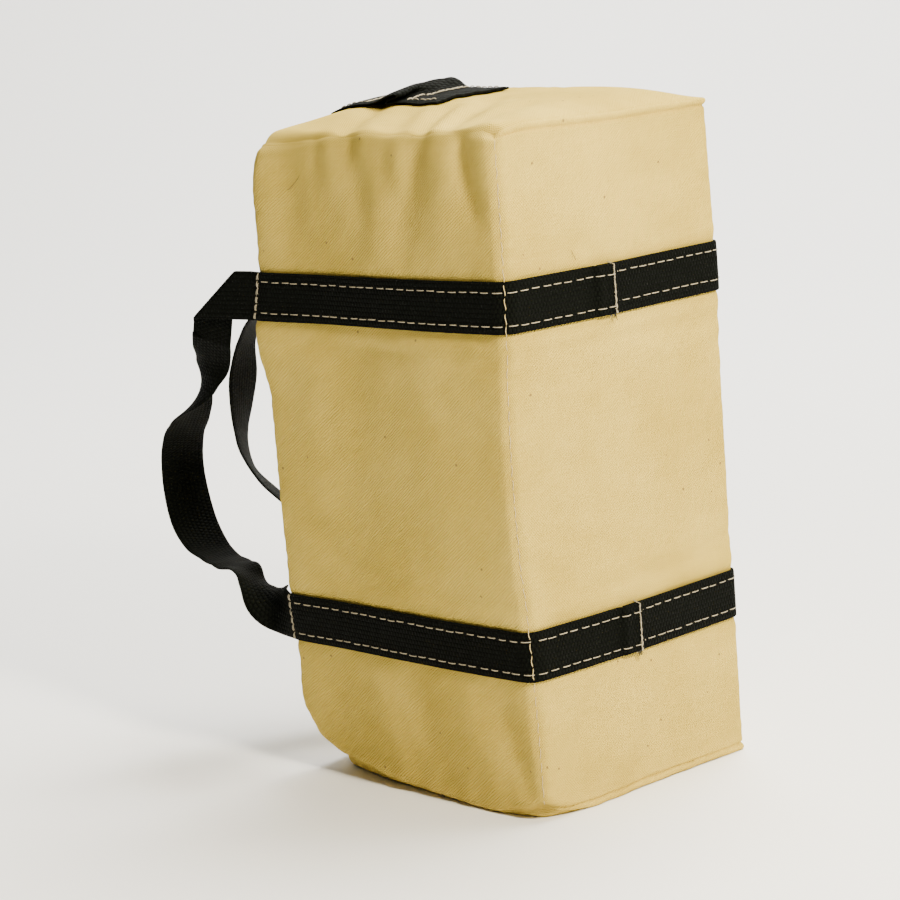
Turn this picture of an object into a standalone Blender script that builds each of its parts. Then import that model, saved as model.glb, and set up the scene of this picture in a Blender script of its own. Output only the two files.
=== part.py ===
"""Canvas lighting sandbag, standing on its lower end.

A box-shaped duck canvas bag holds a tied inner liner full of sand. It closes with a zip along one long
face. Two lengths of black webbing are sewn round its side and base panels and leave them at the zip side
as the two carry handles. A wider piece of webbing on the upper end is the end handle.

Units are metres. Z points up along the bag's long side, +X out of the base panel, -X out of the zip panel,
-Y out of the near side panel. The origin is the middle of the lower end, on the floor.
"""

import math

import bmesh
import bpy
import numpy as np
from mathutils import Matrix, Vector

# Driving dimensions of the bag
WIDTH = 0.173  # X, from zip panel to base panel
DEPTH = 0.145  # Y, from near to far side panel
LENGTH = 0.337  # Z, from lower to upper end
CANVAS = 0.0012
GAP = 0.0003  # between pieces that touch

# How far each face stands out in its middle when the bag is full
SIDE_CROWN = 0.004
BASE_CROWN = 0.003
UPPER_CROWN = 0.0095

# Webbing
WEBBING = 0.0016
STRAP_WIDTH = 0.0254
STRAP_HEIGHTS = {"upper": 0.2532, "lower": 0.0838}
STRAP_LIFT = 0.0005  # under the straps, over the canvas
STRAP_END = 0.001  # from the bag's rear edge to the sewn end of a strap
HANDLE_AXIS_OUT = 0.0025  # from the bag's rear edge to the line where a handle turns
NEAR_LEAN = math.radians(-8)  # how far each handle leans in over the zip panel at rest
FAR_LEAN = math.radians(55)

# End handle, on the upper end
END_WIDTH = 0.050
END_FRONT = 0.002  # X of its sewn end nearest the base panel
END_TAB = 0.027  # length sewn down at each end
END_FREE = 0.027  # span of the free loop
END_RISE = 0.0095  # of the free loop, over its own sewn ends
FLAT_FROM = 5 / 6  # share of its half length from which the loop lies flat

# Zip, in the middle of the zip panel
ZIP_SLOT = 0.011
ZIP_LENGTH = 0.290  # of the teeth and their stops; the tapes run on to both ends
TAPE_WIDTH = 0.014
TAPE = 0.0006
TEETH_WIDTH = 0.003
TEETH = 0.0021
STOP_LENGTH = 0.0035
SLIDER_LENGTH = 0.011
PULL_LENGTH = 0.026

# Inner liner and its fill
LINER_CLEARANCE = 0.0020
LINER_FILM = 0.0006
SAND_CLEARANCE = 0.0014  # between the film and the sand
NECK_RADIUS = 0.010

REAR = -WIDTH / 2
ZIP_BOTTOM = (LENGTH - ZIP_LENGTH) / 2


def clear_scene():
    for item in list(bpy.data.objects):
        bpy.data.objects.remove(item, do_unlink=True)


clear_scene()
parts = bpy.data.collections.new("sandbag")
cutters = bpy.data.collections.new("cutters")
for collection in (parts, cutters):
    bpy.context.scene.collection.children.link(collection)


# Materials, one for each piece


def paint(piece, colour, roughness, metallic=0.0):
    material = bpy.data.materials.new(piece.name)
    material.use_nodes = True
    shader = material.node_tree.nodes["Principled BSDF"]
    shader.inputs["Base Color"].default_value = (*colour, 1.0)
    shader.inputs["Roughness"].default_value = roughness
    shader.inputs["Metallic"].default_value = metallic
    piece.data.materials.clear()
    piece.data.materials.append(material)


COTTON = ((0.80, 0.66, 0.42), 0.92)
BLACK_WEBBING = ((0.010, 0.011, 0.010), 0.75)
BLACK_TAPE = ((0.016, 0.016, 0.017), 0.85)
BLACK_NYLON = ((0.014, 0.014, 0.015), 0.40)
DARK_METAL = ((0.10, 0.10, 0.105), 0.35, 0.9)
CLEAR_FILM = ((0.72, 0.74, 0.74), 0.30)
SAND = ((0.52, 0.42, 0.28), 0.95)


# Shapes


def add_mesh(name, shape, finish, origin=(0, 0, 0), turn=(0, 0, 0), collection=parts):
    """A new object from a bmesh whose coordinates are about the object's own origin."""
    mesh = bpy.data.meshes.new(name)
    shape.to_mesh(mesh)
    shape.free()
    piece = bpy.data.objects.new(name, mesh)
    collection.objects.link(piece)
    piece.location = origin
    piece.rotation_euler = turn
    paint(piece, *finish)
    return piece


def thicken(piece, thickness, offset):
    """Gives an open surface its wall: offset 1 builds outwards, -1 inwards, 0 both ways."""
    wall = piece.modifiers.new("wall", "SOLIDIFY")
    wall.thickness = thickness
    wall.offset = offset
    wall.use_even_offset = True


def surface(columns, rows, point):
    """A grid whose vertices are moved to point(u, v), with u and v from -1 to 1."""
    shape = bmesh.new()
    bmesh.ops.create_grid(shape, x_segments=columns, y_segments=rows, size=1.0)
    for vertex in shape.verts:
        vertex.co = Vector(point(vertex.co.x, vertex.co.y))
    return shape


def crown(u, v, height):
    """Height of a full face over its flat: highest in the middle, level along all four edges."""
    return height * ((1 - u * u) * (1 - v * v)) ** 1.5


def upper_crown(x, y):
    """Height of the upper end over the bag's length, which stays full nearly to its seams."""
    u, v = 2 * x / WIDTH, 2 * y / DEPTH
    return UPPER_CROWN * ((1 - u**4) * (1 - v**4)) ** 1.5


def panel(name, half_width, half_height, height, centre, turn, columns=12, rows=20):
    """A rectangular canvas panel, crowned along its own +Z, with its wall inside."""
    piece = add_mesh(
        name,
        surface(columns, rows, lambda u, v: (half_width * u, half_height * v, crown(u, v, height))),
        COTTON,
        centre,
        turn,
    )
    thicken(piece, CANVAS, -1)
    return piece


def box(name, low, high, finish, collection=parts):
    """A block between two corners, given about the bag's origin, with its own origin in its middle."""
    low, high = Vector(low), Vector(high)
    shape = bmesh.new()
    bmesh.ops.create_cube(shape, size=1.0)
    bmesh.ops.scale(shape, vec=high - low, verts=shape.verts)
    return add_mesh(name, shape, finish, (low + high) / 2, collection=collection)


def cut(piece, cutter, operation="DIFFERENCE"):
    """A Boolean between a piece and a hidden cutter."""
    cutter.hide_render = True
    cutter.display_type = "WIRE"
    joint = piece.modifiers.new(cutter.name, "BOOLEAN")
    joint.operation = operation
    joint.object = cutter
    joint.solver = "EXACT"


# Canvas shell: four walls and two ends

QUARTER = math.pi / 2
wall_bottom = CANVAS + GAP
wall_half_height = LENGTH / 2 - wall_bottom
middle = LENGTH / 2

for side, sign in (("near", -1), ("far", 1)):
    panel(
        f"{side}_side_panel",
        WIDTH / 2,
        wall_half_height,
        SIDE_CROWN,
        (0, sign * DEPTH / 2, middle),
        (QUARTER, 0, 0 if sign < 0 else math.pi),
    )

inner_half_depth = DEPTH / 2 - CANVAS - GAP
panel(
    "base_panel",
    inner_half_depth,
    wall_half_height,
    BASE_CROWN,
    (WIDTH / 2, 0, middle),
    (QUARTER, 0, QUARTER),
)

half_strip = (inner_half_depth - ZIP_SLOT / 2) / 2
for side, sign in (("near", -1), ("far", 1)):
    panel(
        f"{side}_zip_panel",
        half_strip,
        wall_half_height,
        0.0,
        (REAR, sign * (ZIP_SLOT / 2 + half_strip), middle),
        (QUARTER, 0, -QUARTER),
        columns=1,
        rows=1,
    )

upper_end = add_mesh(
    "upper_end_panel",
    surface(
        16,
        14,
        lambda u, v: (
            WIDTH / 2 * u,
            DEPTH / 2 * v,
            upper_crown(WIDTH / 2 * u, DEPTH / 2 * v),
        ),
    ),
    COTTON,
    (0, 0, LENGTH),
)
thicken(upper_end, CANVAS, -1)

box(
    "lower_end_panel",
    (-WIDTH / 2, -DEPTH / 2, 0),
    (WIDTH / 2, DEPTH / 2, CANVAS),
    COTTON,
)


# Straps: webbing sewn along a side panel, round the corner and to the middle of the base panel


def strap_point(distance, height, sign):
    """A point on a strap's inner face, from the rear edge round the corner to the middle of the base.

    The path keeps STRAP_LIFT off the side panel, turns about the corner's edge, and keeps the same
    lift off the base panel. Both stretches add the crown of the panel under them.
    """
    along_side = WIDTH - STRAP_END
    corner = STRAP_LIFT * QUARTER
    v = (height - middle) / wall_half_height
    if distance <= along_side:
        x = REAR + STRAP_END + distance
        lift = crown(2 * x / WIDTH, v, SIDE_CROWN)
        return x, sign * (DEPTH / 2 + STRAP_LIFT + lift), height
    if distance <= along_side + corner:
        angle = (distance - along_side) / STRAP_LIFT
        return (
            WIDTH / 2 + STRAP_LIFT * math.sin(angle),
            sign * (DEPTH / 2 + STRAP_LIFT * math.cos(angle)),
            height,
        )
    y = DEPTH / 2 - (distance - along_side - corner)
    lift = crown(min(1.0, y / inner_half_depth), v, BASE_CROWN)
    return WIDTH / 2 + STRAP_LIFT + lift, sign * y, height


def strap(name, height, sign):
    """One strap: stations are even along the panels, with the corner's turn between two of them."""
    along_side = WIDTH - STRAP_END
    corner = STRAP_LIFT * QUARTER
    along_base = DEPTH / 2 - GAP / 2
    stations = [along_side * i / 14 for i in range(15)]
    stations += [along_side + corner * i / 3 for i in (1, 2)]
    stations += [along_side + corner + along_base * i / 8 for i in range(9)]

    def point(u, v):
        station = round((u + 1) / 2 * (len(stations) - 1))
        return strap_point(stations[station], height + v * STRAP_WIDTH / 2, sign)

    shape = surface(len(stations) - 1, 2, point)
    if sign > 0:
        bmesh.ops.reverse_faces(shape, faces=shape.faces)
    piece = add_mesh(name, shape, BLACK_WEBBING)
    thicken(piece, WEBBING, 1)


for side, sign in (("near", -1), ("far", 1)):
    for level, height in STRAP_HEIGHTS.items():
        strap(f"{side}_strap_{level}", height, sign)


# Carry handles: each is the free loop of the same webbing, between an upper and a lower strap


def smooth(points, count):
    """A Catmull-Rom curve through points, read at count places evenly spaced over its stretches."""
    points = np.array(points, float)
    ends = np.vstack((2 * points[0] - points[1], points, 2 * points[-1] - points[-2]))
    place = np.linspace(0, len(points) - 1, count)
    first = np.minimum(place.astype(int), len(points) - 2)
    t = (place - first)[:, None]
    a, b, c, d = (ends[first + i] for i in range(4))
    return 0.5 * (
        2 * b + (c - a) * t + (2 * a - 5 * b + 4 * c - d) * t**2 + (3 * b - a - 3 * c + d) * t**3
    )


def handle(name, stations, side, lean, count=57):
    """A webbing loop whose object origin is on the line where it turns.

    Each station is its middle (reach from the bag, distance outwards, height) and the direction
    across the webbing there, in the same three terms, all in millimetres.
    """
    curve = smooth(stations, count)
    middle_line = curve[:, :3] / 1000
    along = np.gradient(middle_line, axis=0)
    along /= np.linalg.norm(along, axis=1)[:, None]
    across = curve[:, 3:]
    across = across - np.sum(across * along, axis=1)[:, None] * along
    across /= np.linalg.norm(across, axis=1)[:, None]
    to_bag = np.array((-1.0, side, 1.0))

    def point(u, v):
        i = round((u + 1) / 2 * (count - 1))
        return (middle_line[i] + across[i] * v * STRAP_WIDTH / 2) * to_bag

    shape = surface(count - 1, 2, point)
    origin = (REAR - HANDLE_AXIS_OUT, side * (DEPTH / 2 + STRAP_LIFT + WEBBING / 2), 0)
    piece = add_mesh(name, shape, BLACK_WEBBING, origin, (0, 0, lean))
    thicken(piece, WEBBING, 0)


# The near handle turns down in its own plane, faces outwards in the middle and comes back edge on
handle(
    "near_handle",
    (
        (0, 0, 253.2, 0, 0, 1),
        (28, 0, 251.5, 0.1, 0, 1),
        (53, -1, 236, 0.8, -0.1, 0.6),
        (69, -3, 201, 0.93, -0.3, 0.1),
        (90, 8, 163, 0.73, 0.68, 0),
        (86, 10, 131, 0.7, 0.71, -0.1),
        (71, 9, 109, 0.45, 0.8, -0.4),
        (47, 4, 102, 0, 0.9, -0.4),
        (24, 1, 91, -0.1, 0.7, -0.7),
        (9, 0, 84.5, 0, 0.2, -1),
        (0, 0, 83.8, 0, 0, -1),
    ),
    -1,
    NEAR_LEAN,
)

# The far handle is a plain hoop, with a quarter twist near each end
handle(
    "far_handle",
    (
        (0, 0, 253.2, 0, 0, 1),
        (42, 0, 252, 0, 0.6, 0.8),
        (85, 0, 246, 0, 1, 0.3),
        (116, 0, 231, 0.1, 1, 0),
        (131, 0, 207, 0.17, 1, 0),
        (134, 0, 182, 0.17, 1, 0),
        (131, 0, 156, 0.17, 1, 0),
        (121, 0, 134, 0.1, 1, 0),
        (99, 0, 115, 0, 1, 0),
        (70, 0, 101, 0, 1, -0.3),
        (36, 0, 89, 0, 0.6, -0.8),
        (10, 0, 84.2, 0, 0.1, -1),
        (0, 0, 83.8, 0, 0, -1),
    ),
    1,
    FAR_LEAN,
)


# End handle: two sewn ends and the free loop between them


def end_handle_piece(name, start, length, rise):
    """Wide webbing along X over the upper end, lifted off it by rise in the middle of its length.

    The lift starts a little way in from both ends, which lie flat on the canvas.
    """
    half = END_WIDTH / 2
    centre_x = start - length / 2

    def point(u, v):
        x, y = centre_x + u * length / 2, v * half
        lift = rise * max(0.0, 1 - (u / FLAT_FROM) ** 2) ** 1.5
        return x - centre_x, y, upper_crown(x, y) + STRAP_LIFT + lift

    piece = add_mesh(name, surface(12, 6, point), BLACK_WEBBING, (centre_x, 0, LENGTH))
    thicken(piece, WEBBING, 1)


loop_start = END_FRONT - END_TAB - GAP
rear_start = loop_start - END_FREE - GAP
end_handle_piece("end_handle_front_tab", END_FRONT, END_TAB, 0.0)
end_handle_piece("end_handle", loop_start, END_FREE, END_RISE)
end_handle_piece("end_handle_rear_tab", rear_start, END_TAB, 0.0)


# Zip: tapes behind the slot's edges, a row of teeth on each, stops, slider and pull

tape_outer = REAR + CANVAS + GAP
teeth_inner = tape_outer - GAP
teeth_outer = teeth_inner - TEETH
teeth_bottom = ZIP_BOTTOM + STOP_LENGTH + GAP
teeth_top = LENGTH - ZIP_BOTTOM - STOP_LENGTH - GAP

for side, sign in (("near", -1), ("far", 1)):
    tape_edges = sorted((sign * GAP / 2, sign * (GAP / 2 + TAPE_WIDTH)))
    box(
        f"{side}_zip_tape",
        (tape_outer, tape_edges[0], wall_bottom),
        (tape_outer + TAPE, tape_edges[1], LENGTH - wall_bottom),
        BLACK_TAPE,
    )
    teeth_edges = sorted((sign * GAP / 2, sign * (GAP / 2 + TEETH_WIDTH)))
    box(
        f"{side}_zip_teeth",
        (teeth_outer, teeth_edges[0], teeth_bottom),
        (teeth_inner, teeth_edges[1], teeth_top),
        BLACK_NYLON,
    )

stop_half = GAP / 2 + TEETH_WIDTH
for level, stop_base in (("bottom", ZIP_BOTTOM), ("top", LENGTH - ZIP_BOTTOM - STOP_LENGTH)):
    box(
        f"zip_{level}_stop",
        (teeth_outer, -stop_half, stop_base),
        (teeth_inner, stop_half, stop_base + STOP_LENGTH),
        DARK_METAL,
    )

# The slider is a channel over both rows of teeth, with a bail on its back for the pull
SLIDER_WALL = 0.0010
SLIDER_PLAY = 0.0004
BAIL_WIDTH = 0.0022
BAIL_LENGTH = 0.0070
BAIL_HEIGHT = 0.0030
BAIL_EYE_LENGTH = 0.0044
BAIL_EYE_HEIGHT = 0.0018

channel_half = stop_half + SLIDER_PLAY
channel_roof = teeth_outer - SLIDER_PLAY
slider_back = channel_roof - SLIDER_WALL
slider_skirt = teeth_inner - SLIDER_PLAY
slider_bottom = teeth_bottom + GAP
slider_top = slider_bottom + SLIDER_LENGTH
slider_middle = (slider_bottom + slider_top) / 2
OVERRUN = 0.001  # of a cutter past what it cuts

slider = box(
    "zip_slider",
    (slider_back, -channel_half - SLIDER_WALL, slider_bottom),
    (slider_skirt, channel_half + SLIDER_WALL, slider_top),
    DARK_METAL,
)
channel = box(
    "slider_channel",
    (channel_roof, -channel_half, slider_bottom - OVERRUN),
    (slider_skirt + OVERRUN, channel_half, slider_top + OVERRUN),
    DARK_METAL,
    cutters,
)
bail = box(
    "slider_bail",
    (slider_back - BAIL_HEIGHT, -BAIL_WIDTH / 2, slider_middle - BAIL_LENGTH / 2),
    (slider_back + GAP, BAIL_WIDTH / 2, slider_middle + BAIL_LENGTH / 2),
    DARK_METAL,
    cutters,
)
bail_eye = box(
    "slider_bail_eye",
    (slider_back - BAIL_EYE_HEIGHT, -BAIL_WIDTH, slider_middle - BAIL_EYE_LENGTH / 2),
    (slider_back, BAIL_WIDTH, slider_middle + BAIL_EYE_LENGTH / 2),
    DARK_METAL,
    cutters,
)
cut(slider, channel)
cut(slider, bail, "UNION")
cut(slider, bail_eye)

# The pull is a plate whose eye leaves a crossbar at its upper end. The bar lies in the bail's eye, and
# the bail's outer wall passes through the eye of the pull.
PULL_WIDTH = 0.0076
PULL_THICKNESS = 0.0012
PULL_EYE_WIDTH = 0.0040
PULL_EYE_LENGTH = 0.0052

pull_axis = Vector((slider_back - BAIL_EYE_HEIGHT / 2, 0, slider_middle))
half_bar = PULL_THICKNESS / 2
pull = box(
    "zip_pull",
    (pull_axis.x - half_bar, -PULL_WIDTH / 2, pull_axis.z - PULL_LENGTH),
    (pull_axis.x + half_bar, PULL_WIDTH / 2, pull_axis.z + half_bar),
    DARK_METAL,
)
pull_eye = box(
    "pull_eye",
    (pull_axis.x - PULL_THICKNESS, -PULL_EYE_WIDTH / 2, pull_axis.z - PULL_EYE_LENGTH),
    (pull_axis.x + PULL_THICKNESS, PULL_EYE_WIDTH / 2, pull_axis.z - half_bar),
    DARK_METAL,
    cutters,
)
for piece in (pull, pull_eye):
    piece.data.transform(Matrix.Translation(piece.location - pull_axis))
    piece.location = pull_axis
cut(pull, pull_eye)


# Liner: a film bag with a gathered neck, its tie, and the sand inside


def ring(half_x, half_y, z, squareness, count=24):
    """A closed superellipse: squareness 2 is an ellipse, and larger is nearer to a rectangle."""
    angle = np.arange(count) * math.tau / count
    c, s = np.cos(angle), np.sin(angle)
    x = half_x * np.sign(c) * np.abs(c) ** (2 / squareness)
    y = half_y * np.sign(s) * np.abs(s) ** (2 / squareness)
    return np.column_stack((x, y, np.full(count, z)))


def loft(rings, close_top):
    """Skins a stack of rings from the bottom up, with a cap below and, if asked, one above."""
    shape = bmesh.new()
    loops = [[shape.verts.new(p) for p in points] for points in rings]
    count = len(loops[0])
    for lower, upper in zip(loops, loops[1:]):
        for i in range(count):
            j = (i + 1) % count
            shape.faces.new((lower[i], lower[j], upper[j], upper[i]))
    shape.faces.new(reversed(loops[0]))
    if close_top:
        shape.faces.new(loops[-1])
    return shape


liner_x = WIDTH / 2 - CANVAS - LINER_CLEARANCE
liner_y = DEPTH / 2 - CANVAS - LINER_CLEARANCE
liner_bottom = CANVAS + 2 * GAP
shoulder = LENGTH - 0.034
neck = LENGTH - 0.016
mouth = LENGTH - 0.007


def filled_rings(inset):
    """The full part of the liner, or of the sand where inset takes off the film and a clearance."""
    stack = []
    for height, swell in ((0, 0.93), (0.006, 0.985), (0.03, 1.0), (0.5, 1.0), (0.94, 1.0), (1, 0.96)):
        z = liner_bottom + inset + height * (shoulder - liner_bottom - inset)
        stack.append(ring(liner_x * swell - inset, liner_y * swell - inset, z, 7))
    return stack


liner_rings = filled_rings(0.0)
liner_rings.append(ring(liner_x * 0.7, liner_y * 0.7, (shoulder + neck) / 2, 4))
liner_rings.append(ring(NECK_RADIUS, NECK_RADIUS, neck, 2))
liner_rings.append(ring(NECK_RADIUS, NECK_RADIUS, neck + 0.003, 2))
liner_rings.append(ring(NECK_RADIUS * 1.6, NECK_RADIUS * 1.6, mouth, 2))
liner = add_mesh("liner_bag", loft(liner_rings, close_top=False), CLEAR_FILM)
thicken(liner, LINER_FILM, -1)

sand_inset = LINER_FILM + SAND_CLEARANCE
add_mesh("sand_fill", loft(filled_rings(sand_inset), close_top=True), SAND)

tie_radius = 0.0012
bpy.ops.mesh.primitive_torus_add(
    major_radius=NECK_RADIUS + tie_radius + 2 * GAP,
    minor_radius=tie_radius,
    major_segments=24,
    minor_segments=8,
    location=(0, 0, neck + 0.0015),
)
tie = bpy.context.object
tie.name = "liner_tie"
for collection in list(tie.users_collection):
    collection.objects.unlink(tie)
parts.objects.link(tie)
paint(tie, *BLACK_NYLON)
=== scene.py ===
"""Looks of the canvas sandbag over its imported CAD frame. Units are metres unless a name says mm."""

import math

import bmesh
import bpy
import numpy as np
from mathutils import Matrix, Vector


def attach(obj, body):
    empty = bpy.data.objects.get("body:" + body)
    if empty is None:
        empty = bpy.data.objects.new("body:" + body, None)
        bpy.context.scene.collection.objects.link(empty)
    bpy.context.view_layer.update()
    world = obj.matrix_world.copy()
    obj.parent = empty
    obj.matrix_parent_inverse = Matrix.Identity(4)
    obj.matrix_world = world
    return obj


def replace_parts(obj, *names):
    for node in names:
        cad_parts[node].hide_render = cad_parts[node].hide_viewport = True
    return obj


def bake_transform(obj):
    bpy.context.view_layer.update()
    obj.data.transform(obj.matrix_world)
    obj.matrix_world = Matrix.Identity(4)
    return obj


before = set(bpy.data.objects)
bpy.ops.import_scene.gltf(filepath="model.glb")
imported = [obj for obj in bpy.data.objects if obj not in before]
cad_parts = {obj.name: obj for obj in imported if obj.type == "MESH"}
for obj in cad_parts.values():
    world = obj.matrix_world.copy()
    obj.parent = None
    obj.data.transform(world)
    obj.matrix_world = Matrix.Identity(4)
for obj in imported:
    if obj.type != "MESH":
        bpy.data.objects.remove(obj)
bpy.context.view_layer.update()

# Canvas bag
# Six panels of undyed cotton duck, sewn inside out and turned, held out by about 11 kg of sand.
# It stands on its lower end. The seam allowances make a soft ridge round both ends, and the end
# handle's pull leaves pleats that run over the near seam. Topstitching holds the front corner.

WIDTH, DEPTH, LENGTH = 0.173, 0.145, 0.337
STRAPS = {"upper": 0.2532, "lower": 0.0838}
STRAP_WIDTH = 0.0254
CELLS_X, CELLS_Y, CELLS_Z = 40, 34, 78
MM = 0.001


def bell(value, centre, spread):
    """1 at centre, falling off as a Gaussian: exp(-((value - centre) / spread) ** 2)."""
    return np.exp(-(((value - centre) / spread) ** 2))


def smoothstep(value, low, high):
    """0 below low, 1 above high, and 3t^2 - 2t^3 between them."""
    t = np.clip((value - low) / (high - low), 0, 1)
    return t * t * (3 - 2 * t)


def segment(points, start, end):
    """Share along a segment and distance from it, for each point. All lengths in mm."""
    start, end = np.array(start, float), np.array(end, float)
    along = end - start
    share = (points / MM - start) @ along / (along @ along)
    nearest = start + np.clip(share, 0, 1)[..., None] * along
    return share, np.linalg.norm(points / MM - nearest, axis=-1)


# Folds of the full bag, in mm: where each runs from and to, its half width and its height (negative
# for a valley). The first ones are the pleats between the end handle and the near seam.
FOLDS = (
    ((-46, -22, 346), (-16, -73, 336), 8.1, -2.5),
    ((-14, -30, 347), (20, -73, 336), 8.8, -1.9),
    ((8, -26, 346), (37, -73, 336), 8.1, -2.8),
    ((24, -10, 346), (55, -73, 336), 8.1, -2.9),
    ((58, -22, 343), (66, -73, 336), 6.8, -1.7),
    ((0, -30, 347), (29, -73, 336), 6.1, 1.3),
    ((18, -20, 346), (46, -73, 336), 6.1, 1.4),
    ((-40, -40, 345), (-4, -73, 336), 8.1, 1.2),
    ((-16, -73, 336), (-6, -75, 292), 8.1, -1.4),
    ((36, -73, 336), (20, -76, 282), 8.8, -1.6),
    ((61, -73, 334), (70, -75, 296), 6.1, -2.5),
    ((50, -75, 322), (48, -76, 280), 9.5, 1.3),
    ((-52, -73, 330), (-66, -74, 282), 12.2, -2.0),
    ((4, -76, 306), (2, -76, 272), 10.8, 1.0),
    ((-62, -74, 66), (-52, -74, 20), 12.2, -1.4),
    ((4, -76, 66), (16, -73, 14), 10.8, -2.2),
    ((-24, -76, 62), (-18, -73, 16), 12.2, 1.4),
    ((60, -75, 66), (77, -73, 14), 8.1, -2.2),
    ((40, -76, 60), (50, -73, 14), 10.8, 1.2),
    ((87, -60, 12), (88, -28, 62), 8.1, -1.6),
    ((88, -30, 8), (89, 8, 58), 10.8, 1.2),
    ((88, 0, 10), (89, 22, 60), 9.5, -1.7),
    ((88, -66, 300), (89, -46, 322), 8.1, -1.4),
    ((88, 50, 300), (88, 66, 330), 10.8, -1.4),
    ((88, -20, 312), (90, 10, 280), 18.9, 1.0),
    ((88, -66, 236), (89, -58, 150), 16.2, -1.2),
    ((-10, -76, 232), (-30, -77, 120), 18.9, -1.2),
    ((30, -77, 235), (36, -76, 130), 18.9, 1.0),
    ((-50, -76, 236), (-56, -76, 150), 16.2, 1.3),
    ((-87, 40, 60), (-87, 56, 14), 10.8, -1.7),
    ((-87, -46, 62), (-87, -58, 14), 10.8, -1.7),
    ((-87, 34, 336), (-88, 48, 286), 10.8, -1.7),
    ((-87, -30, 336), (-88, -44, 290), 10.8, -1.6),
    ((40, 73, 336), (30, 76, 286), 10.8, -1.9),
    ((-36, 73, 336), (-48, 76, 284), 10.8, -1.9),
    ((0, 76, 232), (14, 76, 110), 18.9, -1.3),
    ((52, 73, 14), (40, 76, 64), 10.8, -1.9),
    ((-44, 73, 14), (-36, 76, 66), 10.8, -1.9),
)


SEAM_ROUND = 0.0026
SIDE_CROWN, WALL_CROWN, TOP_CROWN = 0.0040, 0.0030, 0.0088
STRAP_PINCH = 0.0009


def full_bag(flat):
    """Moves points of a plain box onto the full bag.

    Rounding: inner = clamp(p, half - r), then p = inner + r * (p - inner) / |p - inner|, with r larger
    towards the rear edge and the lower end. Fullness: each face stands out by
    height * ((1 - u^2)(1 - v^2))^k. Then the edges bow, the straps pinch and the folds are added.
    """
    half = np.array((WIDTH, DEPTH, LENGTH)) / 2
    p = flat - np.array((0, 0, LENGTH / 2))
    u, v, w = (2 * flat[..., 0] / WIDTH, 2 * flat[..., 1] / DEPTH, flat[..., 2] / LENGTH)
    rear_near = smoothstep(-u - v, 1.2, 2.0)
    rear = smoothstep(-u, 0.2, 1.0)
    low = smoothstep(1 - w, 0.88, 1.0)
    high = smoothstep(w, 0.90, 1.0)
    front_near = smoothstep(u - v, 1.6, 2.0)
    r = SEAM_ROUND + 0.0030 * rear_near + 0.0020 * rear + 0.0042 * front_near
    r = r + 0.0020 * high * smoothstep(-v, 0.6, 1.0)
    r = r + low * (0.0095 * smoothstep(-v, 0.4, 1.0) * smoothstep(-u, -0.7, 0.5) + 0.0150 * rear_near)
    r = r + 0.0045 * rear_near * high + 0.0110 * smoothstep(u - v, 1.5, 2.0) * smoothstep(1 - w, 0.95, 1.0)
    r = r + 0.0040 * smoothstep(u - v, 1.7, 2.0) * smoothstep(w, 0.975, 1.0)
    limit = half - r[..., None]
    inner = np.clip(p, -limit, limit)
    out = p - inner
    length = np.linalg.norm(out, axis=-1, keepdims=True)
    out = out / np.maximum(length, 1e-9)
    p = inner + r[..., None] * out + np.array((0, 0, LENGTH / 2))

    side = SIDE_CROWN * np.maximum((1 - u**2) * (1 - (2 * w - 1) ** 4), 0) ** 1.1
    wall = WALL_CROWN * np.maximum((1 - v**2) * (1 - (2 * w - 1) ** 4), 0) ** 1.1
    slope = np.where(v > 0, 1 - np.abs(v) ** 5, 1 - np.abs(v) ** 2.6)
    dome = (TOP_CROWN + 0.0010 * v) * np.maximum((1 - u**6) * slope, 0) ** 1.1
    near_edge = smoothstep(-v, -0.2, 1.0) * w**6
    lean = -0.0034 * smoothstep(-u, -0.9, 1.0) + 0.0022 * smoothstep(u, 0.4, 1.0)
    p[..., 1] += v * side
    p[..., 0] += u * np.where(u > 0, wall, 0.4 * wall)
    p[..., 2] += w**3 * dome + near_edge * lean

    z = flat[..., 2]
    edge = np.hypot(flat[..., 0] + WIDTH / 2, flat[..., 1] + DEPTH / 2)
    push = 0.0060 * smoothstep(z, 0.010, 0.05) * (1 - 0.40 * bell(z, 0.060, 0.03))
    push = push * (1 - 0.35 * smoothstep(z, 0.31, 0.337))
    push = push + 0.0048 * bell(z, 0.231, 0.022)
    p[..., :2] -= (push * np.exp(-((edge / 0.030) ** 2)))[..., None] * np.array((0.62, 0.78))
    edge = np.hypot(flat[..., 0] - WIDTH / 2, flat[..., 1] + DEPTH / 2)
    push = 0.0026 * bell(z, 0.170, 0.075) * np.exp(-((edge / 0.045) ** 2))
    p[..., :2] -= push[..., None] * np.array((1.0, 0.9))
    edge = np.hypot(flat[..., 0] - WIDTH / 2, flat[..., 1] - DEPTH / 2)
    push = (0.0020 + 0.0012 * bell(z, 0.25, 0.05)) * np.exp(-((edge / 0.030) ** 2))
    p[..., :2] += push[..., None] * np.array((0.7, 0.9))

    pinch = sum(1 - smoothstep(abs(z - s), 0.010, 0.018) for s in STRAPS.values())
    p -= (STRAP_PINCH * pinch)[..., None] * out * (1 - rear[..., None] * (v[..., None] < -0.9) * 0.5)

    for start, end, width, height in FOLDS:
        share, distance = segment(p, start, end)
        ends = smoothstep(share, -0.35, 0.30) * (1 - smoothstep(share, 0.65, 1.40))
        p += (height * MM * np.exp(-((distance / width) ** 2)) * ends)[..., None] * out
    p[..., 2] = np.maximum(p[..., 2], 0)
    return p


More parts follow.
